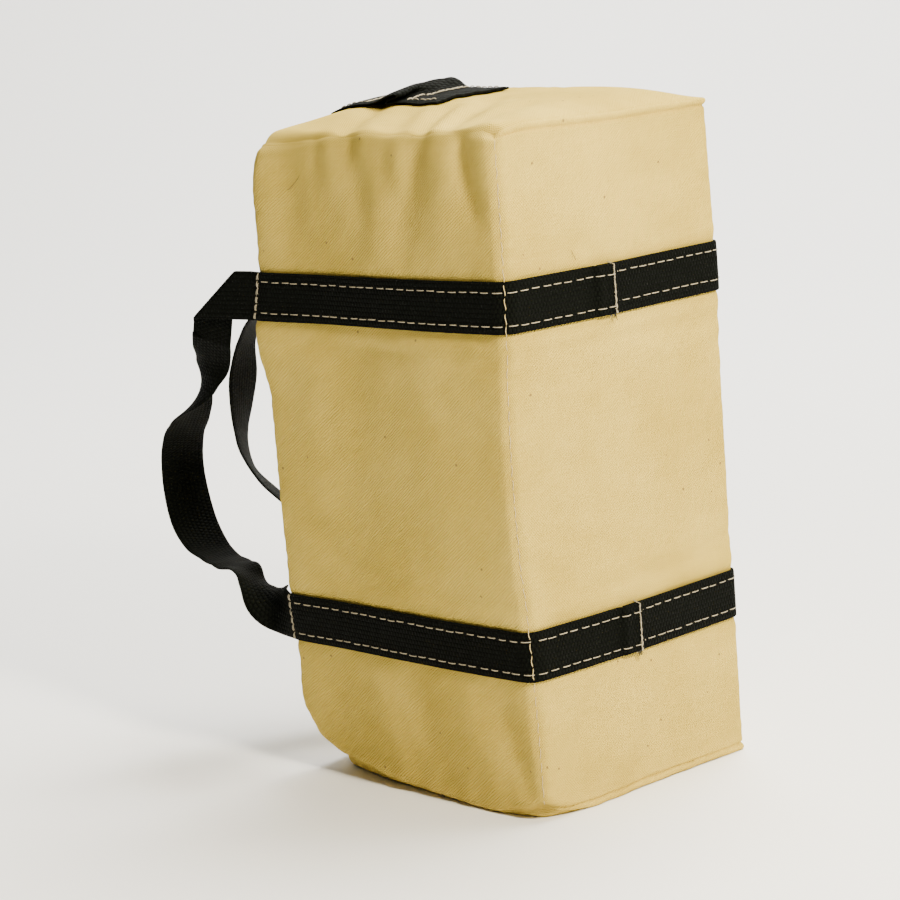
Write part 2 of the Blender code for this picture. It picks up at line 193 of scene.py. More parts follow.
def box_faces(nx, ny, nz):
    """Quads of a closed box grid whose walls come first, then the inner points of both ends."""
    lap = 2 * (nx + ny)
    k, i = np.mgrid[0:nz, 0:lap]
    j = (i + 1) % lap
    walls = np.stack((k * lap + i, k * lap + j, (k + 1) * lap + j, (k + 1) * lap + i), -1)
    faces = [walls.reshape(-1, 4)]
    for top in (0, 1):
        index = rim_index(nx, ny) + top * nz * lap
        inner = (nz + 1) * lap + top * (nx - 1) * (ny - 1)
        index[1:-1, 1:-1] = inner + np.arange((nx - 1) * (ny - 1)).reshape(ny - 1, nx - 1)
        quads = np.stack((index[:-1, :-1], index[:-1, 1:], index[1:, 1:], index[1:, :-1]), -1)
        faces.append(quads.reshape(-1, 4)[:, :: 1 if top else -1])
    return np.concatenate(faces)


def rim_index(nx, ny):
    """For each point of an end, the wall column it stands on. Only the rim's values mean anything."""
    j, i = np.mgrid[0 : ny + 1, 0 : nx + 1]
    lap = 2 * (nx + ny)
    column = np.where(i == nx, nx + j, i)
    column = np.where(j == ny, 2 * nx + ny - i, column)
    return np.where((i == 0) & (j > 0), lap - j, column) % lap


def lap_point(s):
    """A place on the box's plan at distance s round it from the rear near edge, towards +X."""
    corner = np.array((0, WIDTH, WIDTH + DEPTH, 2 * WIDTH + DEPTH, 2 * (WIDTH + DEPTH)))
    s = np.mod(s, corner[-1])
    x = np.interp(s, corner, np.array((-1, 1, 1, -1, -1)) * WIDTH / 2)
    y = np.interp(s, corner, np.array((-1, -1, 1, 1, -1)) * DEPTH / 2)
    return x, y


def flat_box(lap_lines, x_lines, y_lines, z_lines):
    """The walls and the two ends of a plain box, cut along the given lines."""
    x, y = lap_point(lap_lines)
    walls = np.stack(np.broadcast_arrays(x[None, :], y[None, :], z_lines[:, None]), -1)
    across, up = np.meshgrid(x_lines, y_lines)
    ends = np.stack([np.stack((across, up, np.full_like(across, h)), -1) for h in (0, LENGTH)])
    return walls, ends


def new_mesh(name, points=(), faces=()):
    """A new object at the origin from points and faces. A list of faces may mix their sizes."""
    mesh = bpy.data.meshes.new(name)
    faces = faces if isinstance(faces, list) else np.asarray(faces).tolist()
    mesh.from_pydata(np.asarray(points, float).tolist(), [], faces)
    mesh.update()
    piece = bpy.data.objects.new(name, mesh)
    bpy.context.scene.collection.objects.link(piece)
    return piece


def smooth(piece):
    piece.data.polygons.foreach_set("use_smooth", [True] * len(piece.data.polygons))
    return piece


coarse_x = np.linspace(-WIDTH / 2, WIDTH / 2, CELLS_X + 1)
coarse_y = np.linspace(-DEPTH / 2, DEPTH / 2, CELLS_Y + 1)
coarse_z = np.linspace(0, LENGTH, CELLS_Z + 1)
cell_x, cell_y = WIDTH / CELLS_X, DEPTH / CELLS_Y
coarse_lap = np.concatenate(
    (
        np.arange(CELLS_X) * cell_x,
        WIDTH + np.arange(CELLS_Y) * cell_y,
        WIDTH + DEPTH + np.arange(CELLS_X) * cell_x,
        2 * WIDTH + DEPTH + np.arange(CELLS_Y) * cell_y,
    )
)
flat_walls, flat_ends = flat_box(coarse_lap, coarse_x, coarse_y, coarse_z)
full_walls, full_ends = full_bag(flat_walls), full_bag(flat_ends)


def settle(walls, ends):
    """Cloth simulation of the sewn bag: the sand presses out, and the canvas has a little more length
    than the full form, so that it buckles where it isn't held by the webbing. Returns both blocks."""
    points = np.concatenate((walls.reshape(-1, 3), ends[:, 1:-1, 1:-1].reshape(-1, 3)))
    flat = np.concatenate((flat_walls.reshape(-1, 3), flat_ends[:, 1:-1, 1:-1].reshape(-1, 3)))
    cloth_bag = new_mesh("cloth_bag", points, box_faces(CELLS_X, CELLS_Y, CELLS_Z))
    hold = cloth_bag.vertex_groups.new(name="hold")
    loose = cloth_bag.vertex_groups.new(name="loose")
    strap = np.max([1 - smoothstep(abs(flat[:, 2] - s), 0.012, 0.020) for s in STRAPS.values()], axis=0)
    seams = bell(flat[:, 2], LENGTH, 0.05) + bell(flat[:, 2], 0, 0.04)
    zip_line = (flat[:, 0] < -WIDTH / 2 + 1e-6) * bell(flat[:, 1], 0, 0.018)
    held = np.clip(0.16 + 0.6 * strap + 0.6 * zip_line + 0.5 * (flat[:, 2] < 1e-6), 0, 0.95)
    for index, (a, b) in enumerate(zip(held.tolist(), np.clip(seams * (1 - strap), 0, 1).tolist())):
        hold.add((index,), a, "REPLACE")
        loose.add((index,), b, "REPLACE")
    cloth = cloth_bag.modifiers.new("cloth", "CLOTH").settings
    cloth.quality = 6
    cloth.mass = 0.25
    cloth.tension_stiffness = cloth.compression_stiffness = 30
    cloth.shear_stiffness = 12
    cloth.bending_stiffness = 0.35
    cloth.effector_weights.gravity = 0
    cloth.use_pressure = True
    cloth.uniform_pressure_force = 1.5
    cloth.vertex_group_mass = "hold"
    cloth.pin_stiffness = 1.0
    cloth.vertex_group_shrink = "loose"
    cloth.shrink_min = -0.006
    cloth.shrink_max = -0.045
    scene = bpy.context.scene
    for frame_number in range(1, 25):
        scene.frame_set(frame_number)
    settled = cloth_bag.evaluated_get(bpy.context.evaluated_depsgraph_get()).to_mesh()
    result = np.empty(len(points) * 3)
    settled.vertices.foreach_get("co", result)
    result = result.reshape(-1, 3)
    bpy.data.objects.remove(cloth_bag, do_unlink=True)
    scene.frame_set(1)
    count = walls[..., 0].size
    new_walls = result[:count].reshape(walls.shape)
    new_ends = ends.copy()
    new_ends[:, 1:-1, 1:-1] = result[count:].reshape(2, CELLS_Y - 1, CELLS_X - 1, 3)
    rim = rim_index(CELLS_X, CELLS_Y)
    edge = np.ones(rim.shape, bool)
    edge[1:-1, 1:-1] = False
    for top in (0, 1):
        new_ends[top][edge] = new_walls[top * CELLS_Z][rim[edge]]
    return new_walls, new_ends


settled_walls, settled_ends = settle(full_walls, full_ends)
slack_walls, slack_ends = settled_walls - full_walls, settled_ends - full_ends
for _ in range(3):
    slack_walls = (np.roll(slack_walls, 1, 1) + 2 * slack_walls + np.roll(slack_walls, -1, 1)) / 4


def cubic(values, i, j, wraps):
    """Catmull-Rom reading of a grid at fractional row i and column j. wraps closes it round its columns."""
    rows, columns = values.shape[:2]
    i0, j0 = np.floor(i).astype(int), np.floor(j).astype(int)
    weights = []
    for t in (i - i0, j - j0):
        weights.append(
            (
                (-t + 2 * t**2 - t**3) / 2,
                (2 - 5 * t**2 + 3 * t**3) / 2,
                (t + 4 * t**2 - 3 * t**3) / 2,
                (-(t**2) + t**3) / 2,
            )
        )
    total = 0
    for a in range(4):
        row = np.clip(i0 + a - 1, 0, rows - 1)
        for b in range(4):
            column = j0 + b - 1
            column = column % columns if wraps else np.clip(column, 0, columns - 1)
            total = total + (weights[0][a] * weights[1][b])[..., None] * values[row, column]
    return total


def wall(s, z):
    """The settled canvas at distance s round the bag and height z."""
    s, z = np.broadcast_arrays(np.asarray(s, float), np.asarray(z, float))
    x, y = lap_point(s)
    flat = np.stack((x, y, z), -1)
    corner = np.array((0, WIDTH, WIDTH + DEPTH, 2 * WIDTH + DEPTH, 2 * (WIDTH + DEPTH)))
    cells = np.array((0, CELLS_X, CELLS_X + CELLS_Y, 2 * CELLS_X + CELLS_Y, 2 * (CELLS_X + CELLS_Y)))
    column = np.interp(np.mod(s, corner[-1]), corner, cells)
    return full_bag(flat) + cubic(slack_walls, z / LENGTH * CELLS_Z, column, True)


def end_face(x, y, top):
    """The settled canvas of an end, at a place on the plain box."""
    x, y = np.broadcast_arrays(np.asarray(x, float), np.asarray(y, float))
    flat = np.stack((x, y, np.full_like(x, LENGTH if top else 0.0)), -1)
    row, column = (y / DEPTH + 0.5) * CELLS_Y, (x / WIDTH + 0.5) * CELLS_X
    return full_bag(flat) + cubic(slack_ends[int(top)], row, column, False)


def normals(points):
    """Unit normals of a grid of points: the cross product of its column and row directions."""
    along, up = np.gradient(points, axis=1), np.gradient(points, axis=0)
    out = np.cross(along, up)
    return out / np.maximum(np.linalg.norm(out, axis=-1, keepdims=True), 1e-12)


def crowded(low, high, count, crowd=0.55, spans=1):
    """Lines that lie closer together at the ends of each span: t - c sin(2 pi n t) / (2 pi n)."""
    t, turns = np.linspace(0, 1, count + 1), 2 * np.pi * spans
    return low + (high - low) * (t - crowd * np.sin(turns * t) / turns)


FINE_X, FINE_Y, FINE_Z = 124, 128, 240
x_lines = crowded(-WIDTH / 2, WIDTH / 2, FINE_X, 0.6)
y_lines = crowded(-DEPTH / 2, DEPTH / 2, FINE_Y, 0.6, spans=2)
z_lines = crowded(0, LENGTH, FINE_Z, 0.72)
x_run, y_run = x_lines + WIDTH / 2, y_lines + DEPTH / 2
lap_lines = np.concatenate(
    (x_run[:-1], WIDTH + y_run[:-1], WIDTH + DEPTH + x_run[:-1], 2 * WIDTH + DEPTH + y_run[:-1])
)
bag_walls = wall(lap_lines[None, :], z_lines[:, None])
bag_ends = np.stack([end_face(x_lines[None, :], y_lines[:, None], top) for top in (0, 1)])


def gathers(run, seed, periods=(5.0, 11.0)):
    """Small random puckers along a seam: eight sines of unlike period, in mm, with a height up to 1."""
    random = np.random.default_rng(seed)
    wave = sum(
        np.sin(2 * np.pi * run / MM / period + random.uniform(0, 6.3))
        for period in random.uniform(*periods, 8)
    )
    return wave / 4


def seam_relief(run, height):
    """How far the canvas stands out near its seams, in mm, with its puckers.

    Round both ends the turned-in allowances make a ridge with a tight groove under it. Beside the
    upright corners the canvas is a little drawn in. The zip lies in a channel between folded edges.
    """
    face_start = np.array((0, WIDTH, WIDTH + DEPTH, 2 * WIDTH + DEPTH, 2 * (WIDTH + DEPTH)))
    corner = np.min(np.abs(run[None, :] - face_start[:, None]), axis=0)[None, :]
    run, height = run[None, :], height[:, None]
    base = smoothstep(run, WIDTH - 0.004, WIDTH + 0.01)
    base = base * (1 - smoothstep(run, WIDTH + DEPTH, WIDTH + DEPTH + 0.01))
    relief = np.zeros(np.broadcast_shapes(run.shape, height.shape))
    for k, level in enumerate((0.0, LENGTH)):
        away = np.abs(height - level) / MM
        strength = 0.10 + 0.90 * base
        relief = relief + 0.9 * strength * bell(away, 1.2, 1.6) - 1.1 * strength * bell(away, 4.0, 0.8)
        relief = relief + 0.26 * gathers(run, 5 + k, (9.0, 19.0)) * bell(away, 6.0, 6.0) * (1 - 0.4 * base)
        relief = relief + 0.55 * gathers(run, 15 + k, (16.0, 34.0)) * bell(away, 14.0, 14.0)
    strap = sum(1 - smoothstep(abs(height - s), 0.011, 0.016) for s in STRAPS.values())
    relief = relief + 0.30 * gathers(height, 25, (7.0, 16.0)) * bell(corner / MM, 5.0, 4.0) * (1 - strap)
    relief = relief - 0.12 * bell(corner / MM, 0, 0.9) * (1 - strap)
    for s in STRAPS.values():
        for edge in (-1, 1):
            away = (height - s) * edge / MM - 13.0
            waves = 0.7 + 0.6 * gathers(run, 35 + edge, (9.0, 22.0))
            relief = relief + 0.35 * bell(away, 4.0, 3.5) * waves
    y = (run - 2 * WIDTH - DEPTH - DEPTH / 2) / MM
    rear = (run > 2 * WIDTH + DEPTH) & (run < 2 * (WIDTH + DEPTH))
    channel = -2.0 * (1 - smoothstep(np.abs(y), 4.9, 5.9))
    channel = channel + 0.5 * bell(np.abs(y), 7.0, 1.3) - 0.25 * bell(np.abs(y), 9.4, 0.6)
    channel = channel + 0.30 * gathers(height, 45, (7.0, 15.0)) * bell(np.abs(y), 9.5, 3.0)
    return relief + np.where(rear, channel, 0)


lap = np.concatenate((bag_walls[:, -1:], bag_walls, bag_walls[:, :1]), 1)
outward = normals(lap)[:, 1:-1]
bag_walls += outward * (seam_relief(lap_lines, z_lines) * MM)[..., None]
bag_walls[..., 2] = np.maximum(bag_walls[..., 2], 0)

rim = rim_index(FINE_X, FINE_Y)
rim_edge = np.ones(rim.shape, bool)
rim_edge[1:-1, 1:-1] = False
for top in (0, 1):
    bag_ends[top][rim_edge] = bag_walls[top * FINE_Z][rim[rim_edge]]
bag_ends[0][..., 2] = np.maximum(bag_ends[0][..., 2], 0)

bag_points = np.concatenate((bag_walls.reshape(-1, 3), bag_ends[:, 1:-1, 1:-1].reshape(-1, 3)))
bag = smooth(new_mesh("canvas_bag", bag_points, box_faces(FINE_X, FINE_Y, FINE_Z)))


def set_uv(piece, uv_of_corner):
    """Gives a mesh a UV map in metres from one value for each face corner."""
    layer = piece.data.uv_layers.new(name="metres")
    layer.data.foreach_set("uv", np.asarray(uv_of_corner, np.float32).ravel())


def bag_uv():
    """Cloth coordinates: distance round the bag and height on the walls, X and Y on the ends."""
    lap = np.append(lap_lines, 2 * (WIDTH + DEPTH))
    column, row = np.meshgrid(lap, z_lines)
    walls_uv = np.stack((column, row), -1)
    across, up = np.meshgrid(x_lines, y_lines)
    end_uv = np.stack((across + 0.7, up), -1)
    parts = []
    for grid, flip in ((walls_uv, False), (end_uv, True), (end_uv, False)):
        corners = np.stack((grid[:-1, :-1], grid[:-1, 1:], grid[1:, 1:], grid[1:, :-1]), 2)
        corners = corners.reshape(-1, 4, 2)
        parts.append(corners[:, ::-1] if flip else corners)
    return np.concatenate(parts)


set_uv(bag, bag_uv())


class Shading:
    """Builds one procedural material: each method adds a node and returns its output."""

    def __init__(self, name, roughness, coordinate="UV"):
        self.material = bpy.data.materials.new(name)
        self.material.use_nodes = True
        self.tree = self.material.node_tree
        self.shader = self.tree.nodes["Principled BSDF"]
        self.shader.inputs["Roughness"].default_value = roughness
        self.place = self.tree.nodes.new("ShaderNodeTexCoord").outputs[coordinate]

    def node(self, kind, settings=(), **inputs):
        node = self.tree.nodes.new(kind)
        for key, value in dict(settings).items():
            setattr(node, key, value)
        for key, value in inputs.items():
            socket = node.inputs[int(key[1:])] if key[0] == "i" and key[1:].isdigit() else node.inputs[key]
            if isinstance(value, bpy.types.NodeSocket):
                self.tree.links.new(value, socket)
            else:
                socket.default_value = value
        return node

    def maths(self, operation, a, b=0.0):
        return self.node("ShaderNodeMath", {"operation": operation}, i0=a, i1=b).outputs[0]

    def turned(self, angle=0.0, scale=(1, 1, 1)):
        node = self.node("ShaderNodeMapping", {"vector_type": "TEXTURE"}, Vector=self.place)
        node.inputs["Rotation"].default_value = (0, 0, angle)
        node.inputs["Scale"].default_value = [1 / s for s in scale]
        return node.outputs[0]

    def noise(self, scale, detail=2.0, roughness=0.5, vector=None):
        sockets = {"Vector": vector or self.place, "Scale": scale, "Detail": detail, "Roughness": roughness}
        return self.node("ShaderNodeTexNoise", **sockets).outputs["Fac"]

    def ramp(self, value, *stops, kind="LINEAR"):
        """Reads value against (place, colour or grey) stops."""
        node = self.node("ShaderNodeValToRGB", Fac=value)
        node.color_ramp.interpolation = kind
        while len(node.color_ramp.elements) < len(stops):
            node.color_ramp.elements.new(0.5)
        for element, (place, colour) in zip(node.color_ramp.elements, stops):
            element.position = place
            element.color = (*colour, 1) if hasattr(colour, "__len__") else (colour, colour, colour, 1)
        return node.outputs["Color"]

    def mix(self, factor, a, b, blend="MIX"):
        node = self.node("ShaderNodeMix", {"data_type": "RGBA", "blend_type": blend})
        for socket, value in ((node.inputs[0], factor), (node.inputs[6], a), (node.inputs[7], b)):
            if isinstance(value, bpy.types.NodeSocket):
                self.tree.links.new(value, socket)
            else:
                socket.default_value = (*value, 1) if hasattr(value, "__len__") else value
        return node.outputs[2]

    def bump(self, height, distance, strength=1.0):
        """Adds a bump of this real height, in metres, over what is already there."""
        node = self.node("ShaderNodeBump", Height=height, Distance=distance, Strength=strength)
        before = self.shader.inputs["Normal"]
        if before.is_linked:
            self.tree.links.new(before.links[0].from_socket, node.inputs["Normal"])
        self.tree.links.new(node.outputs[0], before)

    def set(self, socket, value):
        if isinstance(value, bpy.types.NodeSocket):
            self.tree.links.new(value, self.shader.inputs[socket])
        else:
            self.shader.inputs[socket].default_value = (*value, 1) if hasattr(value, "__len__") else value


TWILL_PITCH, CROSS_PITCH = 0.00125, 0.00110


def cotton_duck():
    """Slanting ribs both ways, thick threads along and across, soft blotches and dark seed specks."""
    canvas = Shading("canvas_duck", 0.92)
    blotch = canvas.noise(14, 4, 0.6)
    slub = canvas.noise(900, 2, 0.6, canvas.turned(0, (0.06, 1, 1)))
    weft = canvas.noise(900, 2, 0.6, canvas.turned(0, (1, 0.06, 1)))
    mottle = canvas.ramp(blotch, (0.35, 0.0), (0.65, 1.0))
    tone = canvas.mix(mottle, (0.545, 0.390, 0.060), (0.680, 0.500, 0.095))
    tone = canvas.mix(canvas.ramp(slub, (0.3, 0.0), (0.75, 0.16)), tone, (0.80, 0.60, 0.13))
    tone = canvas.mix(canvas.ramp(weft, (0.3, 0.12), (0.7, 0.0)), tone, (0.46, 0.29, 0.07))
    seed = canvas.node("ShaderNodeTexVoronoi", {"feature": "F1"}, Vector=canvas.place, Scale=95)
    chance = canvas.node("ShaderNodeSeparateColor", Color=seed.outputs["Color"]).outputs[0]
    rare = canvas.maths("GREATER_THAN", chance, 0.60)
    near = canvas.maths("LESS_THAN", seed.outputs["Distance"], 0.066)
    speck = canvas.maths("MULTIPLY", canvas.maths("MULTIPLY", rare, near), 0.75)
    tone = canvas.mix(speck, tone, (0.16, 0.10, 0.05))
    canvas.set("Base Color", tone)
    canvas.set("Specular IOR Level", 0.1)
    ribs = [
        canvas.node(
            "ShaderNodeTexWave",
            {"wave_type": "BANDS", "bands_direction": "X"},
            Vector=canvas.turned(math.radians(angle)),
            Scale=math.pi / 10 / pitch,
            Distortion=1.4,
            Detail=1.0,
        ).outputs["Fac"]
        for angle, pitch in ((-52, TWILL_PITCH), (38, CROSS_PITCH))
    ]
    canvas.bump(canvas.noise(34, 2, 0.5), 0.0034)
    canvas.bump(canvas.maths("ADD", ribs[0], canvas.maths("MULTIPLY", ribs[1], 0.6)), 0.00030)
    canvas.bump(canvas.maths("ADD", slub, weft), 0.00022)
    return canvas.material


canvas_duck = cotton_duck()
bag.data.materials.append(canvas_duck)
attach(bag, "bag")
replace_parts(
    bag,
    "near_side_panel",
    "far_side_panel",
    "base_panel",
    "near_zip_panel",
    "far_zip_panel",
    "upper_end_panel",
    "lower_end_panel",
)

# Webbing
# Two lengths of black 25 mm webbing. Each is sewn flat from the middle of the base panel round a side
# panel, leaves the bag at its rear edge as a free carry handle, and comes back round at the other height.
# The near handle is creased over once near its upper end and twists below that; the far one hangs open.

WEBBING = 0.0016
RIB_PITCH = 0.0021
GIRTH_CORD = 0.0023
STRAP_LIFT = 0.0007
JOIN = 0.0085  # of the far length under the near one, in the middle of the base panel


def unit(v):
    return v / np.maximum(np.linalg.norm(v, axis=-1, keepdims=True), 1e-12)


def soften(rows, passes):
    """Averages each row with its neighbours along the strap, keeping both ends."""
    for _ in range(passes):
        rows[1:-1] = 0.25 * rows[:-2] + 0.5 * rows[1:-1] + 0.25 * rows[2:]
    return rows


def lengths_along(points):
    """The distance of each point from the first, along the line through them."""
    return np.concatenate(((0,), np.cumsum(np.linalg.norm(np.diff(points, axis=0), axis=1))))


def through(points, step):
    """A Catmull-Rom curve through rows of numbers, read about every step along its first three."""
    points = np.array(points, float)
    ends = np.vstack((2 * points[0] - points[1], points, 2 * points[-1] - points[-2]))
    place = np.linspace(0, len(points) - 1, 40 * len(points))

    def read(place):
        first = np.minimum(place.astype(int), len(points) - 2)
        t = (place - first)[:, None]
        a, b, c, d = (ends[first + i] for i in range(4))
        return 0.5 * (
            2 * b + (c - a) * t + (2 * a - 5 * b + 4 * c - d) * t**2 + (3 * b - a - 3 * c + d) * t**3
        )

    run = lengths_along(read(place)[:, :3])
    count = max(4, int(run[-1] / step) + 1)
    return read(np.interp(np.linspace(0, run[-1], count), run, place))


ACROSS = np.array((-1, -0.985, -0.95, -0.88, *np.linspace(-0.8, 0.8, 17), 0.88, 0.95, 0.985, 1))
ACROSS = ACROSS * STRAP_WIDTH / 2


def strap_rows(sign, height, middle, overlap, over=0.0):
    """Rows over the canvas from the join on the base panel to the rear edge, at rest on the canvas.

    Each row runs from the strap's lower to its upper edge. sign -1 is the near side, 1 the far side.
    The strap starts overlap past the join, and over is how much it is raised where it lies on the other.
    """
    middle, edge = WIDTH + DEPTH / 2 + middle, (0.0035 if sign < 0 else 2 * WIDTH + DEPTH - 0.0035)
    s = np.linspace(middle - sign * overlap, edge, 190)
    rows = wall(s[:, None], height + ACROSS[None, :])
    rows = soften(rows, 5)
    out = unit(np.cross(np.gradient(rows, axis=0), np.gradient(rows, axis=1))) * -sign
    out *= np.where(np.sum(out * (rows - np.array((0, 0, LENGTH / 2))), -1, keepdims=True) < 0, -1, 1)
    raised = over * smoothstep(s, middle - JOIN - 0.0035, middle - JOIN)
    return rows + out * (STRAP_LIFT + WEBBING / 2 + raised)[:, None, None]


def free_rows(stations, step=0.0013):
    """Rows of a free ribbon through stations of (middle x, y, z, direction across x, y, z), in mm."""
    curve = through(stations, step / MM)
    middle = curve[:, :3]
    along = unit(np.gradient(middle, axis=0))
    across = curve[:, 3:] - np.sum(curve[:, 3:] * along, axis=1)[:, None] * along
    return (middle[:, None, :] * MM) + unit(across)[:, None, :] * ACROSS[None, :, None]


def creased_rows(start, heading, crease, length, turn=51.0, radius=0.0013, step=0.0012):
    """Rows of a flat ribbon that is folded back on itself along a slanting line, turn degrees from upright.

    A point p along and c across lies q = (p - crease) cos turn + c sin turn past the line. Up to q = 0 it
    stays; then it goes round a half circle of the radius, and after pi * radius it runs back behind.
    """
    p, c = np.meshgrid(np.arange(0, length, step), ACROSS, indexing="ij")
    slant = np.array((math.cos(math.radians(turn)), math.sin(math.radians(turn))))
    q = (p - crease) * slant[0] + c * slant[1]
    angle = np.clip(q / radius, 0, math.pi)
    past = np.where(q > math.pi * radius, -(q - math.pi * radius), radius * np.sin(angle))
    past = np.where(q > 0, past, q)
    behind = radius * (1 - np.cos(angle))
    shift = past - q
    away = np.cross(heading, (0, 0, 1))
    along, up = p + shift * slant[0], c + shift * slant[1]
    flat = start + along[..., None] * heading + up[..., None] * np.array((0, 0, 1.0))
    return flat + behind[..., None] * away


def stations_of(rows):
    """The stations, in mm, that a few rows of a ribbon make."""
    middle = rows[:, len(ACROSS) // 2]
    return np.concatenate((middle / MM, unit(rows[:, -1] - rows[:, 0])), 1)


def loop_quads(rows, around):
    """Quads between neighbouring rows of points, where each row is closed round on itself."""
    i, j = np.mgrid[0 : rows - 1, 0:around]
    k = (j + 1) % around
    return np.stack((i * around + j, i * around + k, (i + 1) * around + k, (i + 1) * around + j), -1)


def strip_faces(n, m):
    """Faces of n rows round a flat strip: its long walls, and a cap of quads over each end."""
    k = np.arange(m // 2 - 1)
    cap = np.stack((k, m - 1 - k, m - 2 - k, k + 1), -1)
    return np.concatenate((loop_quads(n, m).reshape(-1, 4), cap, (cap + (n - 1) * m)[:, ::-1]))


def set_point_uv(piece, uv_of_point):
    corners = np.empty(len(piece.data.loops), int)
    piece.data.loops.foreach_get("vertex_index", corners)
    set_uv(piece, uv_of_point[corners])


def webbing(name, rows, side=-1, lines=ACROSS):
    """Gives rows their thickness, with a thin round selvedge, and a UV map in metres (along, across)."""
    along, across = np.gradient(rows, axis=0), np.gradient(rows, axis=1)
    out = unit(np.cross(across, along)) * -side
    share = lines / lines[-1]
    half = WEBBING / 2 * np.sqrt(np.clip(1 - np.abs(share) ** 14, 0.0, 1)) * 0.92 + 0.00006
    top, bottom = rows + out * half[None, :, None], rows - out * half[None, :, None]
    loop = np.concatenate((top, bottom[:, ::-1]), 1)
    faces = strip_faces(*loop.shape[:2])
    piece = smooth(new_mesh(name, loop.reshape(-1, 3), faces[:, ::-1] if side > 0 else faces))
    run = lengths_along(rows[:, rows.shape[1] // 2])
    places = np.concatenate((lines, lines[::-1]))
    set_point_uv(piece, np.stack(np.broadcast_arrays(run[:, None], places[None, :]), -1).reshape(-1, 2))
    return piece


def black_webbing(name, columns):
    """Heavy plain-woven nylon: ribs across the webbing, set half a step on from one cord to the next. Its
    colour carries painted shade in the grooves and painted sheen in patches.
    """
    cloth = Shading(name, 0.62)
    split = cloth.node("ShaderNodeSeparateXYZ", Vector=cloth.place)
    along, across = split.outputs[0], split.outputs[1]
    column = cloth.maths("MULTIPLY", across, columns)
    half_step = cloth.maths("MULTIPLY", cloth.maths("FLOOR", column), 0.5)
    rib = cloth.maths("ADD", cloth.maths("MULTIPLY", along, 1 / RIB_PITCH), half_step)
    rib_height = cloth.maths("ABSOLUTE", cloth.maths("SINE", cloth.maths("MULTIPLY", rib, math.pi)))
    cord = cloth.maths("ABSOLUTE", cloth.maths("SINE", cloth.maths("MULTIPLY", column, math.pi)))
    weave = cloth.maths("MULTIPLY", cloth.maths("POWER", rib_height, 0.6), cloth.maths("POWER", cord, 0.5))
    fibre = cloth.noise(4200, 2, 0.7, cloth.turned(0, (0.12, 1, 1)))
    # Painted sheen: lighter grey patches placed by a noise, standing in for light glancing off the nylon.
    painted_sheen = cloth.noise(60, 3, 0.6)
    # Painted shade: the tone follows the weave's height. It is darkest in the grooves between ribs and cords,
    # where their shade falls, and lighter on the rib tops.
    tone = cloth.mix(weave, (0.0002, 0.0004, 0.0001), (0.0022, 0.0032, 0.0018))
    tone = cloth.mix(cloth.ramp(fibre, (0.45, 0.0), (0.8, 0.35)), tone, (0.0055, 0.0062, 0.0045))
    tone = cloth.mix(cloth.ramp(painted_sheen, (0.55, 0.0), (0.85, 0.25)), tone, (0.0045, 0.0050, 0.0040))
    cloth.set("Base Color", tone)
    cloth.set("Specular IOR Level", 0.05)
    cloth.set("Roughness", cloth.maths("ADD", cloth.maths("MULTIPLY", fibre, 0.25), 0.65))
    cloth.bump(weave, 0.0006)
    cloth.bump(fibre, 0.00012)
    return cloth.material


girth_weave = black_webbing("girth_webbing", 1 / GIRTH_CORD)

near_upper = strap_rows(-1, STRAPS["upper"], -0.0045, 0.0030, WEBBING)
near_lower = strap_rows(-1, STRAPS["lower"], -0.0025, 0.0030, WEBBING)
root = near_upper[-1][len(ACROSS) // 2]
leaving = np.array((-math.cos(math.radians(11)), -math.sin(math.radians(11)), 0.0))
crease = creased_rows(root + 0.003 * leaving, leaving, 0.0242, 0.0530)
after = stations_of(crease[-3:])
near_stations = (
    *after,
    (-130, -79.5, 217, 0.97, 0.08, -0.10),
    (-136, -79, 208.5, 0.93, -0.20, 0.06),
    (-143, -77.2, 200.5, 0.81, -0.52, 0.20),
    (-154, -73.5, 190.5, 0.58, -0.76, 0.28),
    (-167, -68.5, 180, 0.30, -0.90, 0.28),
    (-180, -63.5, 169, 0.04, -0.98, 0.20),
    (-189, -59, 155, -0.16, -0.97, 0.14),
    (-190, -58, 139, -0.32, -0.94, 0.08),
    (-184, -59, 121, -0.44, -0.89, 0.08),
    (-172, -61, 109, -0.26, -0.96, 0.04),
    (-158, -64, 104.5, 0.12, -0.98, 0.08),
    (-144, -67, 103.2, 0.46, -0.88, 0.04),
    (-132, -69, 101.5, 0.68, -0.73, -0.08),
    (-120, -71, 95, 0.74, -0.62, -0.25),
    (-108, -73, 88.5, 0.58, -0.52, -0.62),
    (-98, -73.8, 85, 0.25, -0.24, -0.94),
    *stations_of(near_lower[[-1, -5]][:, ::-1]),
)
near_free = free_rows(near_stations)
near_rows = np.concatenate((near_upper[:-1], crease, near_free[3:-4], near_lower[::-1][3:, ::-1]))
near_webbing = webbing("near_webbing", near_rows)

